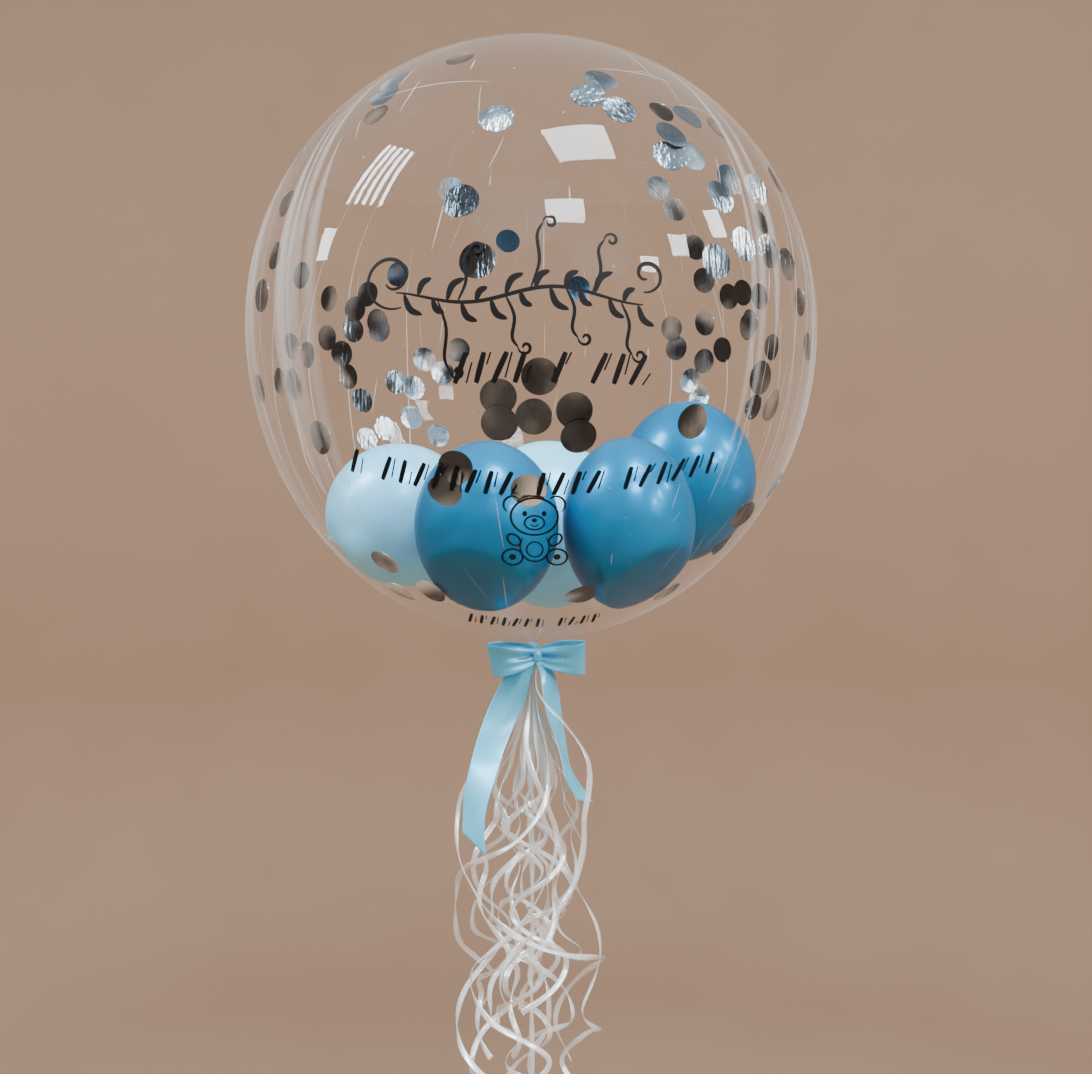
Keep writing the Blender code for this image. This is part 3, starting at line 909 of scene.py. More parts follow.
def loop_rows(knot, outward, deep, side, steps, columns, reach, depth, gather, width,
              lean=0.0, droop=0.0, tilt=0.0, pleat=0.0, phase=0.0):
    """Rows round a loop that leaves a knot and comes back to it, gathered in pleats at the knot."""
    rows = []
    for share in shares(steps):
        turn = 2 * math.pi * mix(LOOP_END_SHARE, 1 - LOOP_END_SHARE, share)
        out = (1 - math.cos(turn)) / 2
        apart = LOOP_END_GAP * math.cos(turn / 2) + depth / 2 * math.sin(turn) * math.sqrt(out)
        half = mix(gather, width / 2, math.sqrt(out))
        gathered = pleat * (1 - ease(out, 0.10, 0.85)) * ease(out, 0.0, 0.10)
        row = []
        for column in range(columns):
            across = 2 * column / (columns - 1) - 1
            along = LOOP_END_GAP + (reach + lean * across) * out
            height = half * across - droop * out - tilt * math.sin(turn)
            groove = math.exp(-(((across - 0.12) / 0.26) ** 2))
            ridge = 0.30 * math.cos(math.pi * 2.6 * across + phase)
            fold = gathered * (ridge - groove) * math.copysign(1.0, apart)
            row.append(knot + outward * along + deep * (apart + fold) + side * height)
        rows.append(row)
    return rows


def wound_knot(name, centre, half_size, material):
    """A knot of ribbon wound over itself: a closed barrel with pleats round it."""
    rows = []
    for step in range(KNOT_STEPS + 1):
        across = 2 * step / KNOT_STEPS - 1
        at_end = step in (0, KNOT_STEPS)
        shrink = KNOT_END_SHARE if at_end else math.sqrt(max(1 - abs(across) ** 3.2, 0.0))
        row = []
        for turn in range(KNOT_FACETS):
            angle = 2 * math.pi * turn / KNOT_FACETS
            pleat = shrink * (1 + KNOT_PLEAT * math.cos(across * 8.5 + 0.8 * math.sin(angle)))
            spot = Vector((across, math.cos(angle) * pleat, math.sin(angle) * pleat))
            row.append(centre + spot * half_size)
        rows.append(row)
    builder = bmesh.new()
    grid = fill_grid(builder, rows, closed=True)
    builder.faces.new(reversed(grid[0]))
    builder.faces.new(grid[-1])
    bmesh.ops.recalc_face_normals(builder, faces=builder.faces)
    return finish_piece(name, builder, material)


# Route of each tail from the knot: sideways and up as shares of its drop, the turn of its face in
# degrees, and the share of its full width
LEFT_TAIL_ROUTE = (
    (-0.011, -0.019, 0, 0.24),
    (-0.039, -0.044, 2, 0.42),
    (-0.079, -0.075, 5, 0.59),
    (-0.111, -0.124, 8, 0.80),
    (-0.150, -0.230, 8, 0.95),
    (-0.203, -0.337, 10, 0.95),
    (-0.261, -0.488, 20, 0.95),
    (-0.309, -0.651, 28, 0.95),
    (-0.337, -0.760, 36, 0.95),
    (-0.348, -0.880, 44, 0.95),
    (-0.342, -1.000, 42, 0.95),
)
RIGHT_TAIL_ROUTE = (
    (0.003, -0.024, -20, 0.24),
    (0.054, -0.090, -45, 0.47),
    (0.079, -0.167, -55, 0.81),
    (0.102, -0.310, -58, 0.95),
    (0.122, -0.417, -62, 0.95),
    (0.164, -0.574, -72, 0.95),
    (0.192, -0.694, -78, 0.95),
    (0.220, -0.814, -74, 0.90),
    (0.336, -1.000, -62, 0.71),
)
TAIL_COLUMNS = 9
TAIL_CREASE_SHARPNESS = 3.2
TAIL_CUP = 0.0009
TAIL_CUP_RATE = 0.55


def tail_rows(route, drop, fold_at, fold_depth):
    """Rows of a tail that hangs in front of the bunch, creased near the knot, its end cut aslant."""
    route = [Vector((x * drop, height * drop, turn, width)) for x, height, turn, width in route]
    points = even_points(smooth_curve(route), TAIL_STEP, measured=2)
    line = [Vector((KNOT.x + point[0], 0.0, KNOT.z + point[1])) for point in points]
    last = len(line) - 1
    columns = [share - 0.5 for share in shares(TAIL_COLUMNS - 1)]
    rows = []
    limits = []
    for at, (place, forward, point) in enumerate(zip(line, directions(line), points)):
        turn = math.radians(point[2])
        level = Vector((math.cos(turn), -math.sin(turn), 0.0))
        side = (level - forward * level.dot(forward)).normalized()
        cut = forward * ease(at, last - TAIL_CUT_ROWS, last) * TAIL_CUT_SLANT
        row = [place + (side + cut) * SATIN_WIDTH * point[3] * across for across in columns]
        clear = [bunch_front(spot.x, -spot.z) - TAIL_CLEARANCE - spot.y for spot in row]
        rows.append(row)
        limits.append(min([KNOT.y] + clear))
    eased = limits
    for _ in range(TAIL_SMOOTHINGS):
        around = [eased[max(i - 1, 0) : i + 2] for i in range(len(eased))]
        eased = [min(limit, sum(near) / len(near)) for limit, near in zip(limits, around)]
    shaped = []
    for at, (row, limit) in enumerate(zip(rows, eased)):
        crease = fold_depth * (1 - ease(at, 2, 10)) * ease(at, 0, 2)
        cup = TAIL_CUP * math.sin(at * TAIL_CUP_RATE)
        shaped.append([])
        for spot, across in zip(row, columns):
            ridge = crease * max(0.0, 1 - abs(across - fold_at) * TAIL_CREASE_SHARPNESS)
            ridge += cup * (0.25 - across**2) * 4
            shaped[-1].append(spot - FRONT * limit + FRONT * ridge)
    return shaped


def declare_satin(piece, rows, held):
    """Says what the bow's sheet is: its flat size, how it is held and what it rests on."""
    length = line_length([row[len(row) // 2] for row in rows])
    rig.sheet(piece, flat=(SATIN_WIDTH, length), held=held, rests_on=["film_bubble"])


def build_bow(material):
    loops = (
        ("bow_loop_left", -RIGHT, LEFT_LOOP_LEAN, LEFT_LOOP_DROOP, 0.4),
        ("bow_loop_right", RIGHT, RIGHT_LOOP_LEAN, RIGHT_LOOP_DROOP, 1.3),
    )
    for name, outward, lean, droop, phase in loops:
        rows = loop_rows(KNOT, outward, FRONT, UP, steps=64, columns=25, reach=LOOP_REACH,
                         depth=LOOP_DEPTH, gather=LOOP_GATHER, width=SATIN_WIDTH, lean=lean,
                         droop=droop, tilt=LOOP_TILT, pleat=LOOP_PLEAT, phase=phase)
        loop = ribbon_piece(name, rows, SATIN_SKIN, material, "aqua_satin")
        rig.replaces(loop, "satin_bow")
        declare_satin(loop, rows, "gathered")
    tails = (
        ("bow_tail_left", LEFT_TAIL_ROUTE, LEFT_TAIL_DROP, 0.12, 0.0042),
        ("bow_tail_right", RIGHT_TAIL_ROUTE, RIGHT_TAIL_DROP, -0.15, 0.0020),
    )
    for name, route, drop, fold_at, fold_depth in tails:
        rows = tail_rows(route, drop, fold_at, fold_depth)
        tail = ribbon_piece(name, rows, SATIN_SKIN, material, "aqua_satin", smoothing=2)
        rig.replaces(tail, "satin_bow")
        declare_satin(tail, rows, "hung")
    knot = wound_knot("bow_knot", KNOT, KNOT_HALF_SIZE, material)
    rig.slot(knot, "aqua_satin")
    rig.replaces(knot, "satin_bow")
    build_wrap(material)


def build_wrap(material):
    """The ribbon's turns round the neck, gathered into small upright folds."""
    outer = WRAP_OUTER_RADIUS
    profile = [
        (outer - 0.0004, WRAP_TOP),
        (outer, WRAP_TOP - 0.0006),
        (outer - 0.0003, mix(WRAP_TOP, WRAP_BOTTOM, 0.3)),
        (outer, mix(WRAP_TOP, WRAP_BOTTOM, 0.5)),
        (outer - 0.0003, mix(WRAP_TOP, WRAP_BOTTOM, 0.75)),
        (outer, WRAP_BOTTOM + 0.0005),
        (WRAP_INNER_RADIUS, WRAP_BOTTOM),
        (WRAP_INNER_RADIUS, WRAP_TOP),
        (outer - 0.0004, WRAP_TOP),
    ]
    rows = []
    for radius, height in profile:
        fold = WRAP_FOLD * ease(radius, WRAP_INNER_RADIUS, outer)
        rows.append(circle(height, WRAP_FACETS, radius, fold, WRAP_FOLDS))
    builder = bmesh.new()
    fill_grid(builder, rows, closed=True)
    bmesh.ops.remove_doubles(builder, verts=builder.verts, dist=0.00001)
    bmesh.ops.recalc_face_normals(builder, faces=builder.faces)
    wrap = finish_piece("neck_wrap", builder, material, "aqua_satin")
    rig.replaces(wrap, "satin_bow")


# Film bubble


def half_height(rise):
    """The bubble's height above its widest ring, or below it where the rise is negative."""
    return BUBBLE_RADIUS if rise > 0 else BUBBLE_LOWER_HEIGHT


def film_radius(height):
    """Radius of the film at a height above the tie."""
    rise = height - BUBBLE_CENTRE_HEIGHT
    return BUBBLE_RADIUS * math.sqrt(max(1 - (rise / half_height(rise)) ** 2, 0.0))


def film_normal(point):
    """The way out of the film at a point on it."""
    rise = point.z - BUBBLE_CENTRE_HEIGHT
    flat = BUBBLE_RADIUS**2
    return Vector((point.x / flat, point.y / flat, rise / half_height(rise) ** 2)).normalized()


def film_place(round_degrees, up_degrees):
    """A point of the film, by degrees round from the front and up from its widest ring."""
    angle = math.radians(round_degrees)
    rise = math.radians(up_degrees)
    radius = BUBBLE_RADIUS * math.cos(rise)
    height = BUBBLE_CENTRE_HEIGHT + half_height(rise) * math.sin(rise)
    return Vector((radius * math.sin(angle), -radius * math.cos(angle), height))


def build_film(material):
    lip_angle = math.acos((NECK_RADIUS + MOUTH_BLEND) / BUBBLE_RADIUS)
    profile = []
    for step in range(1, FILM_UPPER_STEPS + 1):
        angle = math.radians(90) * (1 - step / FILM_UPPER_STEPS)
        height = BUBBLE_CENTRE_HEIGHT + BUBBLE_RADIUS * math.sin(angle)
        profile.append((BUBBLE_RADIUS * math.cos(angle), height))
    for step in range(1, FILM_LOWER_STEPS + 1):
        angle = lip_angle * step / FILM_LOWER_STEPS
        height = BUBBLE_CENTRE_HEIGHT - BUBBLE_LOWER_HEIGHT * math.sin(angle)
        profile.append((BUBBLE_RADIUS * math.cos(angle), height))
    for out, down in MOUTH_FILLET:
        profile.append((NECK_RADIUS + MOUTH_BLEND * out, mix(MOUTH_HEIGHT, WRAP_TOP, down)))
    profile += [
        (NECK_RADIUS, WRAP_TOP + GAP),
        (NECK_RADIUS, WRAP_BOTTOM - GAP),
        (NECK_RADIUS + NECK_FLARE, -NECK_END_DEPTH),
    ]
    rows = []
    for radius, height in profile:
        gather = ease(-radius, -0.060, -0.010) if height < BUBBLE_CENTRE_HEIGHT else 0.0
        wave = radius * gather * NECK_PLEAT_DEPTH / 2
        rows.append(circle(height, FILM_FACETS, radius - wave, -wave, NECK_PLEATS))
    builder = bmesh.new()
    grid = fill_grid(builder, rows, closed=True)
    crown = builder.verts.new((0.0, 0.0, BUBBLE_CENTRE_HEIGHT + BUBBLE_RADIUS))
    for near, far in zip(grid[0], grid[0][1:] + grid[0][:1]):
        builder.faces.new((crown, near, far))
    builder.faces.new(grid[-1])
    bmesh.ops.recalc_face_normals(builder, faces=builder.faces)
    film = finish_piece("clear_film_skin", builder, material, "clear_film")
    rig.replaces(film, "film_bubble")


def add_crease(builder, places, width, inset=CREASE_INSET):
    """A pale streak just inside the film, widest at its middle."""
    rows = []
    count = len(places)
    for at, (place, forward) in enumerate(zip(places, directions(places))):
        normal = film_normal(place)
        half = forward.cross(normal) * width * math.sin(math.pi * (at + 0.5) / count) / 2
        place = place - normal * inset
        rows.append([place - half, place + half])
    fill_grid(builder, rows)


def add_short_creases(builder, chance):
    for _ in range(SHORT_CREASES):
        round_at = chance.uniform(0, 360)
        up_at = chance.uniform(*SHORT_CREASE_UP)
        reach = chance.uniform(*SHORT_CREASE_REACH)
        slant = chance.gauss(0.0, CREASE_SLANT)
        places = []
        for share in shares(8):
            bend = slant * (reach * share + 0.5 * math.sin(share * 3.0))
            places.append(film_place(round_at + bend, min(up_at + reach * share, CREASE_TOP)))
        add_crease(builder, places, chance.uniform(*SHORT_CREASE_WIDTH))


def add_rim_creases(builder, chance):
    for side in (-1, 1):
        for round_at in RIM_CREASES:
            low = chance.uniform(*RIM_CREASE_LOW)
            high = chance.uniform(*RIM_CREASE_HIGH)
            sway = chance.uniform(*RIM_CREASE_SWAY)
            places = []
            for share in shares(LONG_STREAK_STEPS):
                bend = sway * math.sin(share * 7.0 + round_at)
                places.append(film_place(side * round_at + bend, mix(low, high, share)))
            add_crease(builder, places, chance.uniform(*RIM_CREASE_WIDTH))


def add_crown_arcs(builder, chance):
    for _ in range(CROWN_ARCS):
        round_at = chance.uniform(0, 360)
        up_at = chance.uniform(*ARC_UP)
        reach = chance.uniform(*ARC_REACH)
        places = []
        for share in shares(16):
            rise = ARC_SWAY * math.sin(share * 3.0)
            places.append(film_place(round_at + reach * share, up_at + rise))
        add_crease(builder, places, chance.uniform(*ARC_WIDTH))


def add_specks(builder, chance):
    for _ in range(SPECKS):
        place = film_place(chance.uniform(0, 360), chance.uniform(*SPECK_UP))
        normal = film_normal(place)
        size = chance.uniform(*SPECK_RADIUS)
        turn = normal.to_track_quat("Z", "Y").to_matrix().to_4x4()
        matrix = Matrix.Translation(place - normal * CREASE_INSET) @ turn
        bmesh.ops.create_circle(builder, cap_ends=True, segments=6, radius=size, matrix=matrix)


def build_crease_highlights_and_dust(material):
    """Fine pale creases in the film, mostly upright, their paleness a painted highlight, with small specks of dust
    between them.
    """
    chance = random.Random(23)
    builder = bmesh.new()
    add_short_creases(builder, chance)
    add_rim_creases(builder, chance)
    add_crown_arcs(builder, chance)
    add_specks(builder, chance)
    finish_piece("film_crease_highlights_and_dust", builder, material, "clear_film")


def build_painted_rim_sheen(material):
    """Soft upright bands of painted sheen near the rim, where the film looks brighter, more and wider on the left.
    Each is a few faint layers.
    """
    chance = random.Random(31)
    builder = bmesh.new()
    for side, count, widest in BAND_SIDES:
        for _ in range(count):
            round_at = side * chance.uniform(*BAND_REACH)
            low = chance.uniform(*BAND_LOW)
            high = chance.uniform(*BAND_HIGH)
            width = chance.uniform(NARROWEST_BAND, widest)
            places = [film_place(round_at, mix(low, high, s)) for s in shares(LONG_STREAK_STEPS)]
            for layer in range(BAND_LAYERS):
                inset = CREASE_INSET + BAND_LAYER_GAP * (layer + 1)
                add_crease(builder, places, width * (1 - layer / BAND_LAYERS), inset)
    finish_piece("film_painted_rim_sheen_bands", builder, material, "clear_film")


# Print on the film's front: a garland, rows of slanted marks and a simple toy bear


# The flourish's tendrils: x of the foot, how far each reaches up or down, and its curl in degrees
TENDRILS = (
    (-0.0620, -0.0490, 400),
    (-0.0480, 0.0360, 360),
    (-0.0150, -0.0350, 380),
    (0.0020, 0.0460, 400),
    (0.0260, -0.0340, 360),
    (0.0440, 0.0370, 380),
    (0.0640, -0.0360, 400),
)


def film_front(x, height):
    radius = film_radius(height)
    return Vector((x, -math.sqrt(max(radius**2 - x**2, 0.0)), height))


def add_stroke(builder, points, width, closed=False, blunt=0.25):
    """A flat stroke on the film through points of (x, height), thinner towards its ends."""
    flat = [Vector(point) for point in points]
    fine = smooth_curve(flat)[::4] if len(flat) > 2 else flat
    if (fine[-1] - flat[-1]).length > 1e-9:
        fine.append(flat[-1])
    places = [film_front(point[0], point[1]) for point in fine]
    rows = []
    last = len(places) - 1
    for at, (place, forward) in enumerate(zip(places, directions(places))):
        normal = film_normal(place)
        taper = 1.0 if closed else mix(blunt, 1.0, math.sin(math.pi * at / last) ** 0.5)
        half = forward.cross(normal).normalized() * width * taper / 2
        lifted = place + normal * PRINT_LIFT
        rows.append([lifted - half, lifted + half])
    fill_grid(builder, rows)


def ring(centre, half_width, half_height, start=0, end=360, count=20, turn=0.0, shrink=1.0):
    """Points of (x, height) round an ellipse between two angles, its size shrinking to a share."""
    found = []
    lean = math.radians(turn)
    for share in shares(count):
        angle = math.radians(mix(start, end, share))
        size = mix(1.0, shrink, share)
        across = half_width * size * math.cos(angle)
        rise = half_height * size * math.sin(angle)
        x = centre[0] + across * math.cos(lean) - rise * math.sin(lean)
        found.append((x, centre[1] + across * math.sin(lean) + rise * math.cos(lean)))
    return found


def spiral(centre, start_radius, end_radius, start, end):
    shrink = end_radius / start_radius
    return ring(centre, start_radius, start_radius, start, end, SPIRAL_STEPS, shrink=shrink)


def print_piece(name, builder, material):
    thicken(finish_piece(name, builder, material, smooth=False), PRINT_THICKNESS)


def stem_height(x):
    """Height of the flourish's stem at x."""
    return FLOURISH_HEIGHT + 0.0050 * math.sin(x * 52.0 + 0.6)


def build_flourish(material):
    """A leafy garland: a waving stem between two curls, with leaves and long curled tendrils."""
    builder = bmesh.new()
    left, right = FLOURISH_ENDS
    stem = [(x, stem_height(x)) for x in (mix(left, right, share) for share in shares(STEM_STEPS))]
    add_stroke(builder, stem, FLOURISH_LINE)
    add_stroke(builder, spiral((left - 0.0030, 0.2780), 0.0215, 0.0050, -70, -500), FLOURISH_LINE)
    add_stroke(builder, spiral((right + 0.0020, 0.2800), 0.0125, 0.0030, -100, 280), FLOURISH_LINE)
    for leaf in range(FLOURISH_LEAVES):
        x = mix(left, right, (leaf + 0.6) / FLOURISH_LEAVES)
        side = 1 if leaf % 2 else -1
        reach = 0.0125 + 0.0030 * math.cos(leaf * 1.9)
        foot = stem_height(x)
        middle = (x + reach * 0.28, foot + side * reach * 0.72)
        bend = [(x, foot), middle, (x + reach * 0.85, foot + side * reach)]
        add_stroke(builder, bend, FLOURISH_LINE * 1.7, blunt=0.05)
    for x, reach, turn in TENDRILS:
        foot = stem_height(x)
        side = 1 if reach > 0 else -1
        top = foot + reach
        lower = (x + 0.0060, foot + reach * 0.4)
        upper = (x + 0.0045, foot + reach * 0.8)
        bend = [(x, foot), lower, upper, (x + 0.0085, top)]
        add_stroke(builder, bend, FLOURISH_LINE * 0.9)
        start = 180 if side > 0 else -180
        curl = spiral((x + 0.0085 + 0.0050, top), 0.0050, 0.0012, start, start - side * turn)
        add_stroke(builder, curl, FLOURISH_LINE * 0.8)
    print_piece("print_flourish", builder, material)


def add_marks(builder, start, end, groups, height, line):
    """A row of marks in groups: each is a thick slanted bar with a thin one beside it.

    line gives the row's middle height at each x.
    """
    places = sum(groups) + len(groups) - 1
    step = (end - start) / places
    spot = 0
    for count in groups:
        for _ in range(count):
            x = start + step * (spot + 0.5)
            lean = height * (0.20, 0.14, 0.24, 0.17, 0.27)[spot % 5]
            tall = height / 2
            short = height * (0.34, 0.20, 0.42, 0.28)[spot % 4]
            thick_at = x - step * 0.17
            thin_at = x + step * 0.27
            middle = line(thick_at)
            foot = (thick_at - lean, middle - tall)
            thick = [foot, (thick_at, middle), (thick_at + lean, middle + tall)]
            add_stroke(builder, thick, step * 0.30, blunt=0.75)
            middle = line(thin_at) + (tall - short) * (1 if spot % 3 else -1)
            thin = [(thin_at - lean * 0.5, middle - short), (thin_at + lean * 0.5, middle + short)]
            add_stroke(builder, thin, step * 0.11, blunt=0.8)
            spot += 1
        spot += 1


# Rows of marks: name, its two ends, marks in each group, how tall they are, the height of the row's
# middle, and how much it rises towards its ends
MARK_ROWS = (
    ("print_upper_row", -0.0510, 0.0860, (4, 1, 3), 0.0205, 0.2150, 0.0),
    ("print_arched_row", -0.1330, 0.1430, (1, 8, 4, 6), 0.0158, 0.1362, 1.05),
    ("print_small_row", -0.0520, 0.0580, (7, 4), 0.0078, 0.0288, 1.4),
)


def build_mark_rows(material):
    for name, start, end, groups, height, low, rise in MARK_ROWS:
        builder = bmesh.new()
        middle = (start + end) / 2
        add_marks(builder, start, end, groups, height, lambda x: low + rise * (x - middle) ** 2)
        print_piece(name, builder, material)


# The bear's rings and arcs: middle across and up from its head, half width and height, line, first
# and last angle, and turn. Those of a side are made again on the other side
BEAR_MIDDLE_STROKES = (
    (0.0, 0.0, 0.0172, 0.0132, 0.0016, 0, 360, 0),
    (0.0, -0.0044, 0.0072, 0.0050, 0.00128, 0, 360, 0),
    (0.0, -0.0026, 0.0011, 0.0007, 0.0016, 0, 360, 0),
    (0.0, -0.0040, 0.0030, 0.0030, 0.00096, 200, 340, 0),
    (0.0, -0.0222, 0.0108, 0.0108, 0.0016, 140, 400, 0),
    (0.0, -0.0240, 0.0060, 0.0056, 0.00112, 0, 360, 0),
)
BEAR_SIDE_STROKES = (
    (0.0158, 0.0085, 0.0064, 0.0060, 0.0016, -52, 138, 0),
    (0.0070, 0.0022, 0.0008, 0.0011, 0.0017, 0, 360, 0),
    (0.0152, -0.0168, 0.0054, 0.0036, 0.0016, 0, 360, 35),
    (0.0166, -0.0296, 0.0076, 0.0060, 0.0016, 0, 360, 0),
    (0.0166, -0.0296, 0.0014, 0.0012, 0.0024, 0, 360, 0),
)


def add_bear_strokes(builder, strokes, side):
    for across, rise, half_width, half_height, line, start, end, turn in strokes:
        closed = end - start == 360
        if side < 0 and not closed:
            start, end = 180 - start, 180 - end
        centre = (BEAR_MIDDLE + side * across, BEAR_HEAD_HEIGHT + rise)
        outline = ring(centre, half_width, half_height, start, end, turn=side * turn)
        add_stroke(builder, outline, line, closed=closed)


def build_bear(material):
    """A simple toy bear in outline, sitting, made of rings and arcs."""
    builder = bmesh.new()
    add_bear_strokes(builder, BEAR_MIDDLE_STROKES, 1)
    for side in (-1, 1):
        add_bear_strokes(builder, BEAR_SIDE_STROKES, side)
    print_piece("print_bear", builder, material)


# Sealed inside: small latex balloons and foil discs

# Name, centre, radius across, how much taller than wide, the way its neck points, and its colour
SMALL_BALLOONS = (
    ("small_balloon_pale_left", (-0.1190, 0.000, 0.1190), 0.0660, 0.96, (0.4, 0.6, -0.7), "pale"),
    ("small_balloon_blue_left", (-0.0350, -0.113, 0.1070), 0.0580, 1.18, (-0.1, 0.8, -0.6), "blue"),
    ("small_balloon_blue_right", (0.0800, -0.095, 0.1100), 0.0545, 1.28, (-0.2, 0.7, -0.7), "blue"),
    ("small_balloon_blue_far", (0.1440, 0.034, 0.1530), 0.0632, 1.13, (-0.4, -0.1, -0.9), "deep"),
    ("small_balloon_pale_far", (0.0145, 0.060, 0.1120), 0.0740, 1.05, (0.1, 0.6, -0.8), "pale"),
)


def keep_in_film(point):
    """The point, drawn in towards the bubble's middle if it is past the film's inside."""
    centre = Vector((0.0, 0.0, BUBBLE_CENTRE_HEIGHT))
    reach = point - centre
    flat = (reach.x**2 + reach.y**2) / BUBBLE_RADIUS**2
    share = math.sqrt(flat + (reach.z / half_height(reach.z)) ** 2)
    limit = 1 - BALLOON_GAP / BUBBLE_RADIUS
    return centre + reach * min(1.0, limit / share)


def build_small_balloon(name, centre, radius, tall, neck_way, material):
    """A latex balloon: round at the crown, drawn out a little towards its tied neck."""
    profile = []
    for step in range(1, SMALL_BALLOON_STEPS):
        angle = math.pi * step / SMALL_BALLOON_STEPS
        lower = ease(angle, 1.2, math.pi)
        reach = radius * math.sin(angle) * (1 - 0.05 * lower)
        profile.append((reach, -radius * math.cos(angle) * mix(1.0, SMALL_BALLOON_DRAW, lower)))
    tip = radius * SMALL_BALLOON_DRAW
    for reach, beyond in ((0.0042, 0.001), (0.0030, 0.004), (0.0044, 0.006), (0.0060, 0.010)):
        profile.append((reach, tip + beyond))
    way = Vector(neck_way).normalized().to_track_quat("Z", "Y")
    rows = []
    for reach, along in profile:
        row = []
        for spot in circle(along, SMALL_BALLOON_FACETS, reach):
            spot.rotate(way)
            spot.z *= tall
            row.append(keep_in_film(Vector(centre) + spot))
        rows.append(row)
    builder = bmesh.new()
    grid = fill_grid(builder, rows, closed=True)
    builder.faces.new(grid[0])
    builder.faces.new(grid[-1])
    bmesh.ops.recalc_face_normals(builder, faces=builder.faces)
    finish_piece(name, builder, material)


# Degrees round from the front, and up from the widest ring, of the foil discs on the near film
NEAR_CONFETTI = (
    (-6, 28), (-58, 2), (12, 34), (16, 39), (18, 31), (35, 33), (28, 27), (26, 22), (31, 23),
    (40, 20), (36, 16), (48, 20), (33, 4), (40, 8), (47, 8), (54, 7), (-48, -14), (-44, -23),
    (-14, -29), (0, -33), (31, -21), (46, -13), (52, -17), (61, -37), (-44, -48), (-35, -56),
    (-53, -57), (17, -57), (57, -57), (-68, -44), (-36, 44), (-35, 39),
)
# The same for the discs in the middle of the near film
FRONT_CONFETTI = (
    (-11, 12), (-8, 2), (-5, -18), (-5, -22), (2, -15), (1, -21), (8, -20), (9, -24), (-17, -33),
)
# The same for the discs on the far film
FAR_CONFETTI = (
    (-141, 23), (-109, 17), (-121, 14), (-130, 13), (-137, 11), (-133, 17), (-94, 18), (-87, 28),
    (-94, 55), (-67, 74), (105, 60), (87, 48), (135, 44), (133, 38), (102, 28), (131, 28),
    (131, 20), (124, 15), (119, 15), (113, 13), (118, 8), (133, 10), (143, 10), (94, 8),
    (-109, 1), (-115, 0), (-122, 5), (-130, 8), (-127, 2), (-138, 9), (-103, -7), (-90, -10),
    (-129, -3), (-133, -8), (-139, -14), (-133, -17), (-147, -11), (-143, -3), (-148, -4),
    (-151, 3), (-156, 0), (-160, 6), (-154, -15), (142, 5), (134, 1), (128, 3), (138, -3),
    (135, -7), (119, 7), (110, 1), (116, -11), (90, -2), (175, -30), (168, 22), (-172, 34),
    (-80, -36), (84, -30), (100, -44), (-118, -46), (150, -40), (-150, 46), (76, 30), (-70, 34),
)


def add_disc(builder, place, lean, spin, bow):
    """A foil disc just inside the film, tipped a little and slightly bowed."""
    normal = film_normal(place)
    centre = place - normal * CONFETTI_INSET
    across = normal.orthogonal().normalized()
    across.rotate(Matrix.Rotation(spin, 3, normal))
    tipped = normal.copy()
    tipped.rotate(Matrix.Rotation(lean, 3, across))
    side = tipped.cross(across)
    middle = builder.verts.new(centre)
    rim = []
    for step in range(CONFETTI_SIDES):
        angle = 2 * math.pi * step / CONFETTI_SIDES
        x = CONFETTI_RADIUS * math.cos(angle)
        y = CONFETTI_RADIUS * math.sin(angle)
        drop = bow * (x / CONFETTI_RADIUS) ** 2
        rim.append(builder.verts.new(centre + across * x + side * y - tipped * drop))
    for near, far in zip(rim, rim[1:] + rim[:1]):
        builder.faces.new((middle, near, far))


def build_confetti():
    silver = foil_material("silver_foil", SILVER_TONES)
    shade_painted_foil = foil_material("painted_shade_foil", PAINTED_SHADE_FOIL_TONES)
    groups = (
        ("confetti_near", NEAR_CONFETTI, 3, silver),
        ("confetti_far", FAR_CONFETTI, 4, silver),
        # The discs in the middle of the near film take a darker copy of the foil: painted shade
        ("confetti_front", FRONT_CONFETTI, 5, shade_painted_foil),
    )
    for name, places, seed, material in groups:
        chance = random.Random(seed)
        builder = bmesh.new()
        for round_degrees, up_degrees in places:
            place = film_place(round_degrees, up_degrees)
            lean = math.radians(chance.gauss(0.0, 4.0))
            add_disc(builder, place, lean, chance.uniform(0, math.pi), chance.uniform(0.0, 0.0014))
        thicken(finish_piece(name, builder, material, smooth=False), CONFETTI_THICKNESS)


# Room, light and camera


def add_camera():
    data = bpy.data.cameras.new("camera")
    data.sensor_width = SENSOR_WIDTH
    data.lens = data.sensor_width * FOCAL_PIXELS / PHOTO_WIDTH
    data.clip_start = 0.02
    camera = bpy.data.objects.new("camera", data)
    camera.location = CAMERA_PLACE
    camera.rotation_euler = (math.radians(90), 0.0, 0.0)
    bpy.context.scene.collection.objects.link(camera)
    bpy.context.scene.camera = camera


# Windows: name, place, size and power
WINDOWS = (
    ("key", (0.66, -1.24, 2.69), (0.90, 0.70), 132),
    ("front_window", (0.54, -2.29, 1.84), (0.62, 0.42), 68),
    ("low_left_window", (-2.55, -0.30, 1.37), (0.28, 0.42), 27),
    ("right_window", (2.36, -0.56, 1.63), (0.34, 0.38), 31),
    ("low_right_window", (2.15, -1.44, 1.35), (0.33, 0.33), 27),
    ("lowest_right_window", (1.85, -1.98, 1.05), (0.33, 0.24), 22),
)


def add_softbox(name, place, size, power):
    """A soft rectangular light that faces the bubble."""
    data = bpy.data.lights.new(name, "AREA")
    data.shape = "RECTANGLE"
    data.size = size[0]
    data.size_y = size[1]
    data.energy = power
    data.color = DAYLIGHT
    light = bpy.data.objects.new(name, data)
    light.location = place
    light.rotation_euler = (LIGHT_AIM - light.location).to_track_quat("-Z", "Y").to_euler()
    bpy.context.scene.collection.objects.link(light)


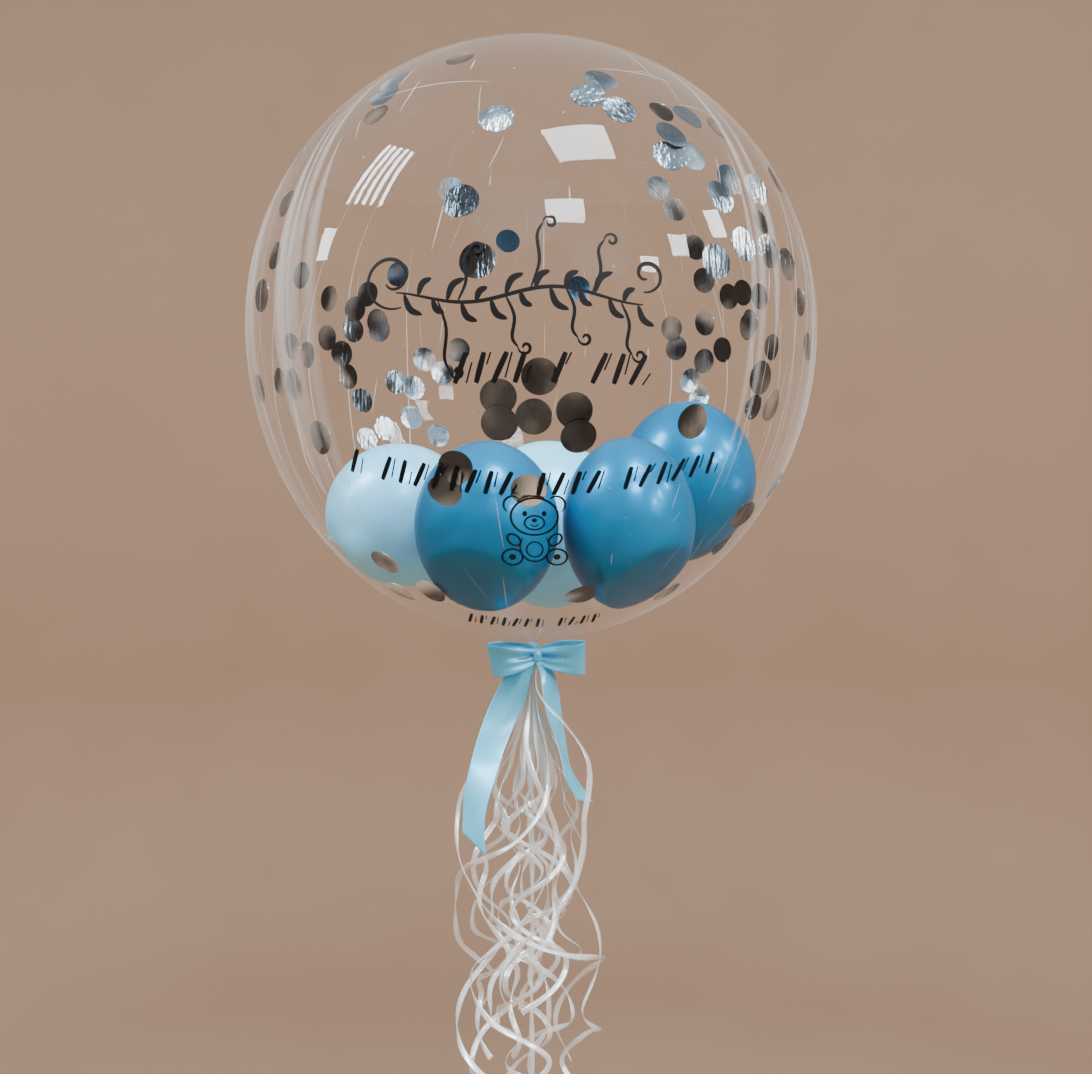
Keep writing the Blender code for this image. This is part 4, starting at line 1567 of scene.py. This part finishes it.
def add_lights():
    """Soft daylight from several windows in front of the balloon, and a dim sky over the room."""
    for window in WINDOWS:
        add_softbox(*window)
    for pane in range(LEFT_WINDOW_PANES):
        across = (pane - (LEFT_WINDOW_PANES - 1) / 2) * LEFT_PANE_SPACING
        place = LEFT_WINDOW_PLACE + LEFT_WINDOW_WAY * across
        add_softbox(f"left_window_{pane + 1}", place, LEFT_PANE_SIZE, LEFT_PANE_POWER)
    world = bpy.data.worlds.new("studio")
    world.use_nodes = True
    sky = world.node_tree.nodes["Background"]
    sky.inputs["Color"].default_value = SKY_COLOUR
    sky.inputs["Strength"].default_value = SKY_STRENGTH
    bpy.context.scene.world = world


def build_room():
    """A plain pale floor that turns up into a round wall."""
    builder = bmesh.new()
    flat = ROOM_RADIUS - ROOM_CURVE
    profile = [(radius, FLOOR_HEIGHT) for radius in (0.02, ROOM_FLAT_RADIUS, flat)]
    for step in range(1, ROOM_CURVE_STEPS + 1):
        angle = math.radians(90) * step / ROOM_CURVE_STEPS
        rise = ROOM_CURVE * (1 - math.cos(angle))
        profile.append((flat + ROOM_CURVE * math.sin(angle), FLOOR_HEIGHT + rise))
    profile.append((ROOM_RADIUS, FLOOR_HEIGHT + ROOM_HEIGHT))
    rows = [circle(height, ROOM_FACETS, radius) for radius, height in profile]
    grid = fill_grid(builder, rows, closed=True)
    builder.faces.new(grid[0])
    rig.stage(mesh_object("room", builder, room_material()))


def main():
    cad_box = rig.bounds()
    add_camera()
    ribbon = curling_material()
    build_curling_ribbons(ribbon)
    build_front_curl(ribbon)
    build_tether(ribbon)
    build_bow(satin_material())
    build_film(film_material())
    build_crease_highlights_and_dust(crease_highlight_and_dust_material())
    build_painted_rim_sheen(painted_rim_sheen_material())
    black = print_material()
    build_flourish(black)
    build_mark_rows(black)
    build_bear(black)
    latex = {colour: latex_material(f"{colour}_latex", *look) for colour, look in LATEX.items()}
    for name, centre, radius, tall, neck_way, colour in SMALL_BALLOONS:
        build_small_balloon(name, centre, radius, tall, neck_way, latex[colour])
    build_confetti()
    add_lights()
    build_room()
    visual_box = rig.bounds()
    boxes = {
        "cad": [list(corner) for corner in cad_box],
        "visual": [list(corner) for corner in visual_box],
    }
    with open("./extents.json", "w") as file:
        json.dump(boxes, file)


main()
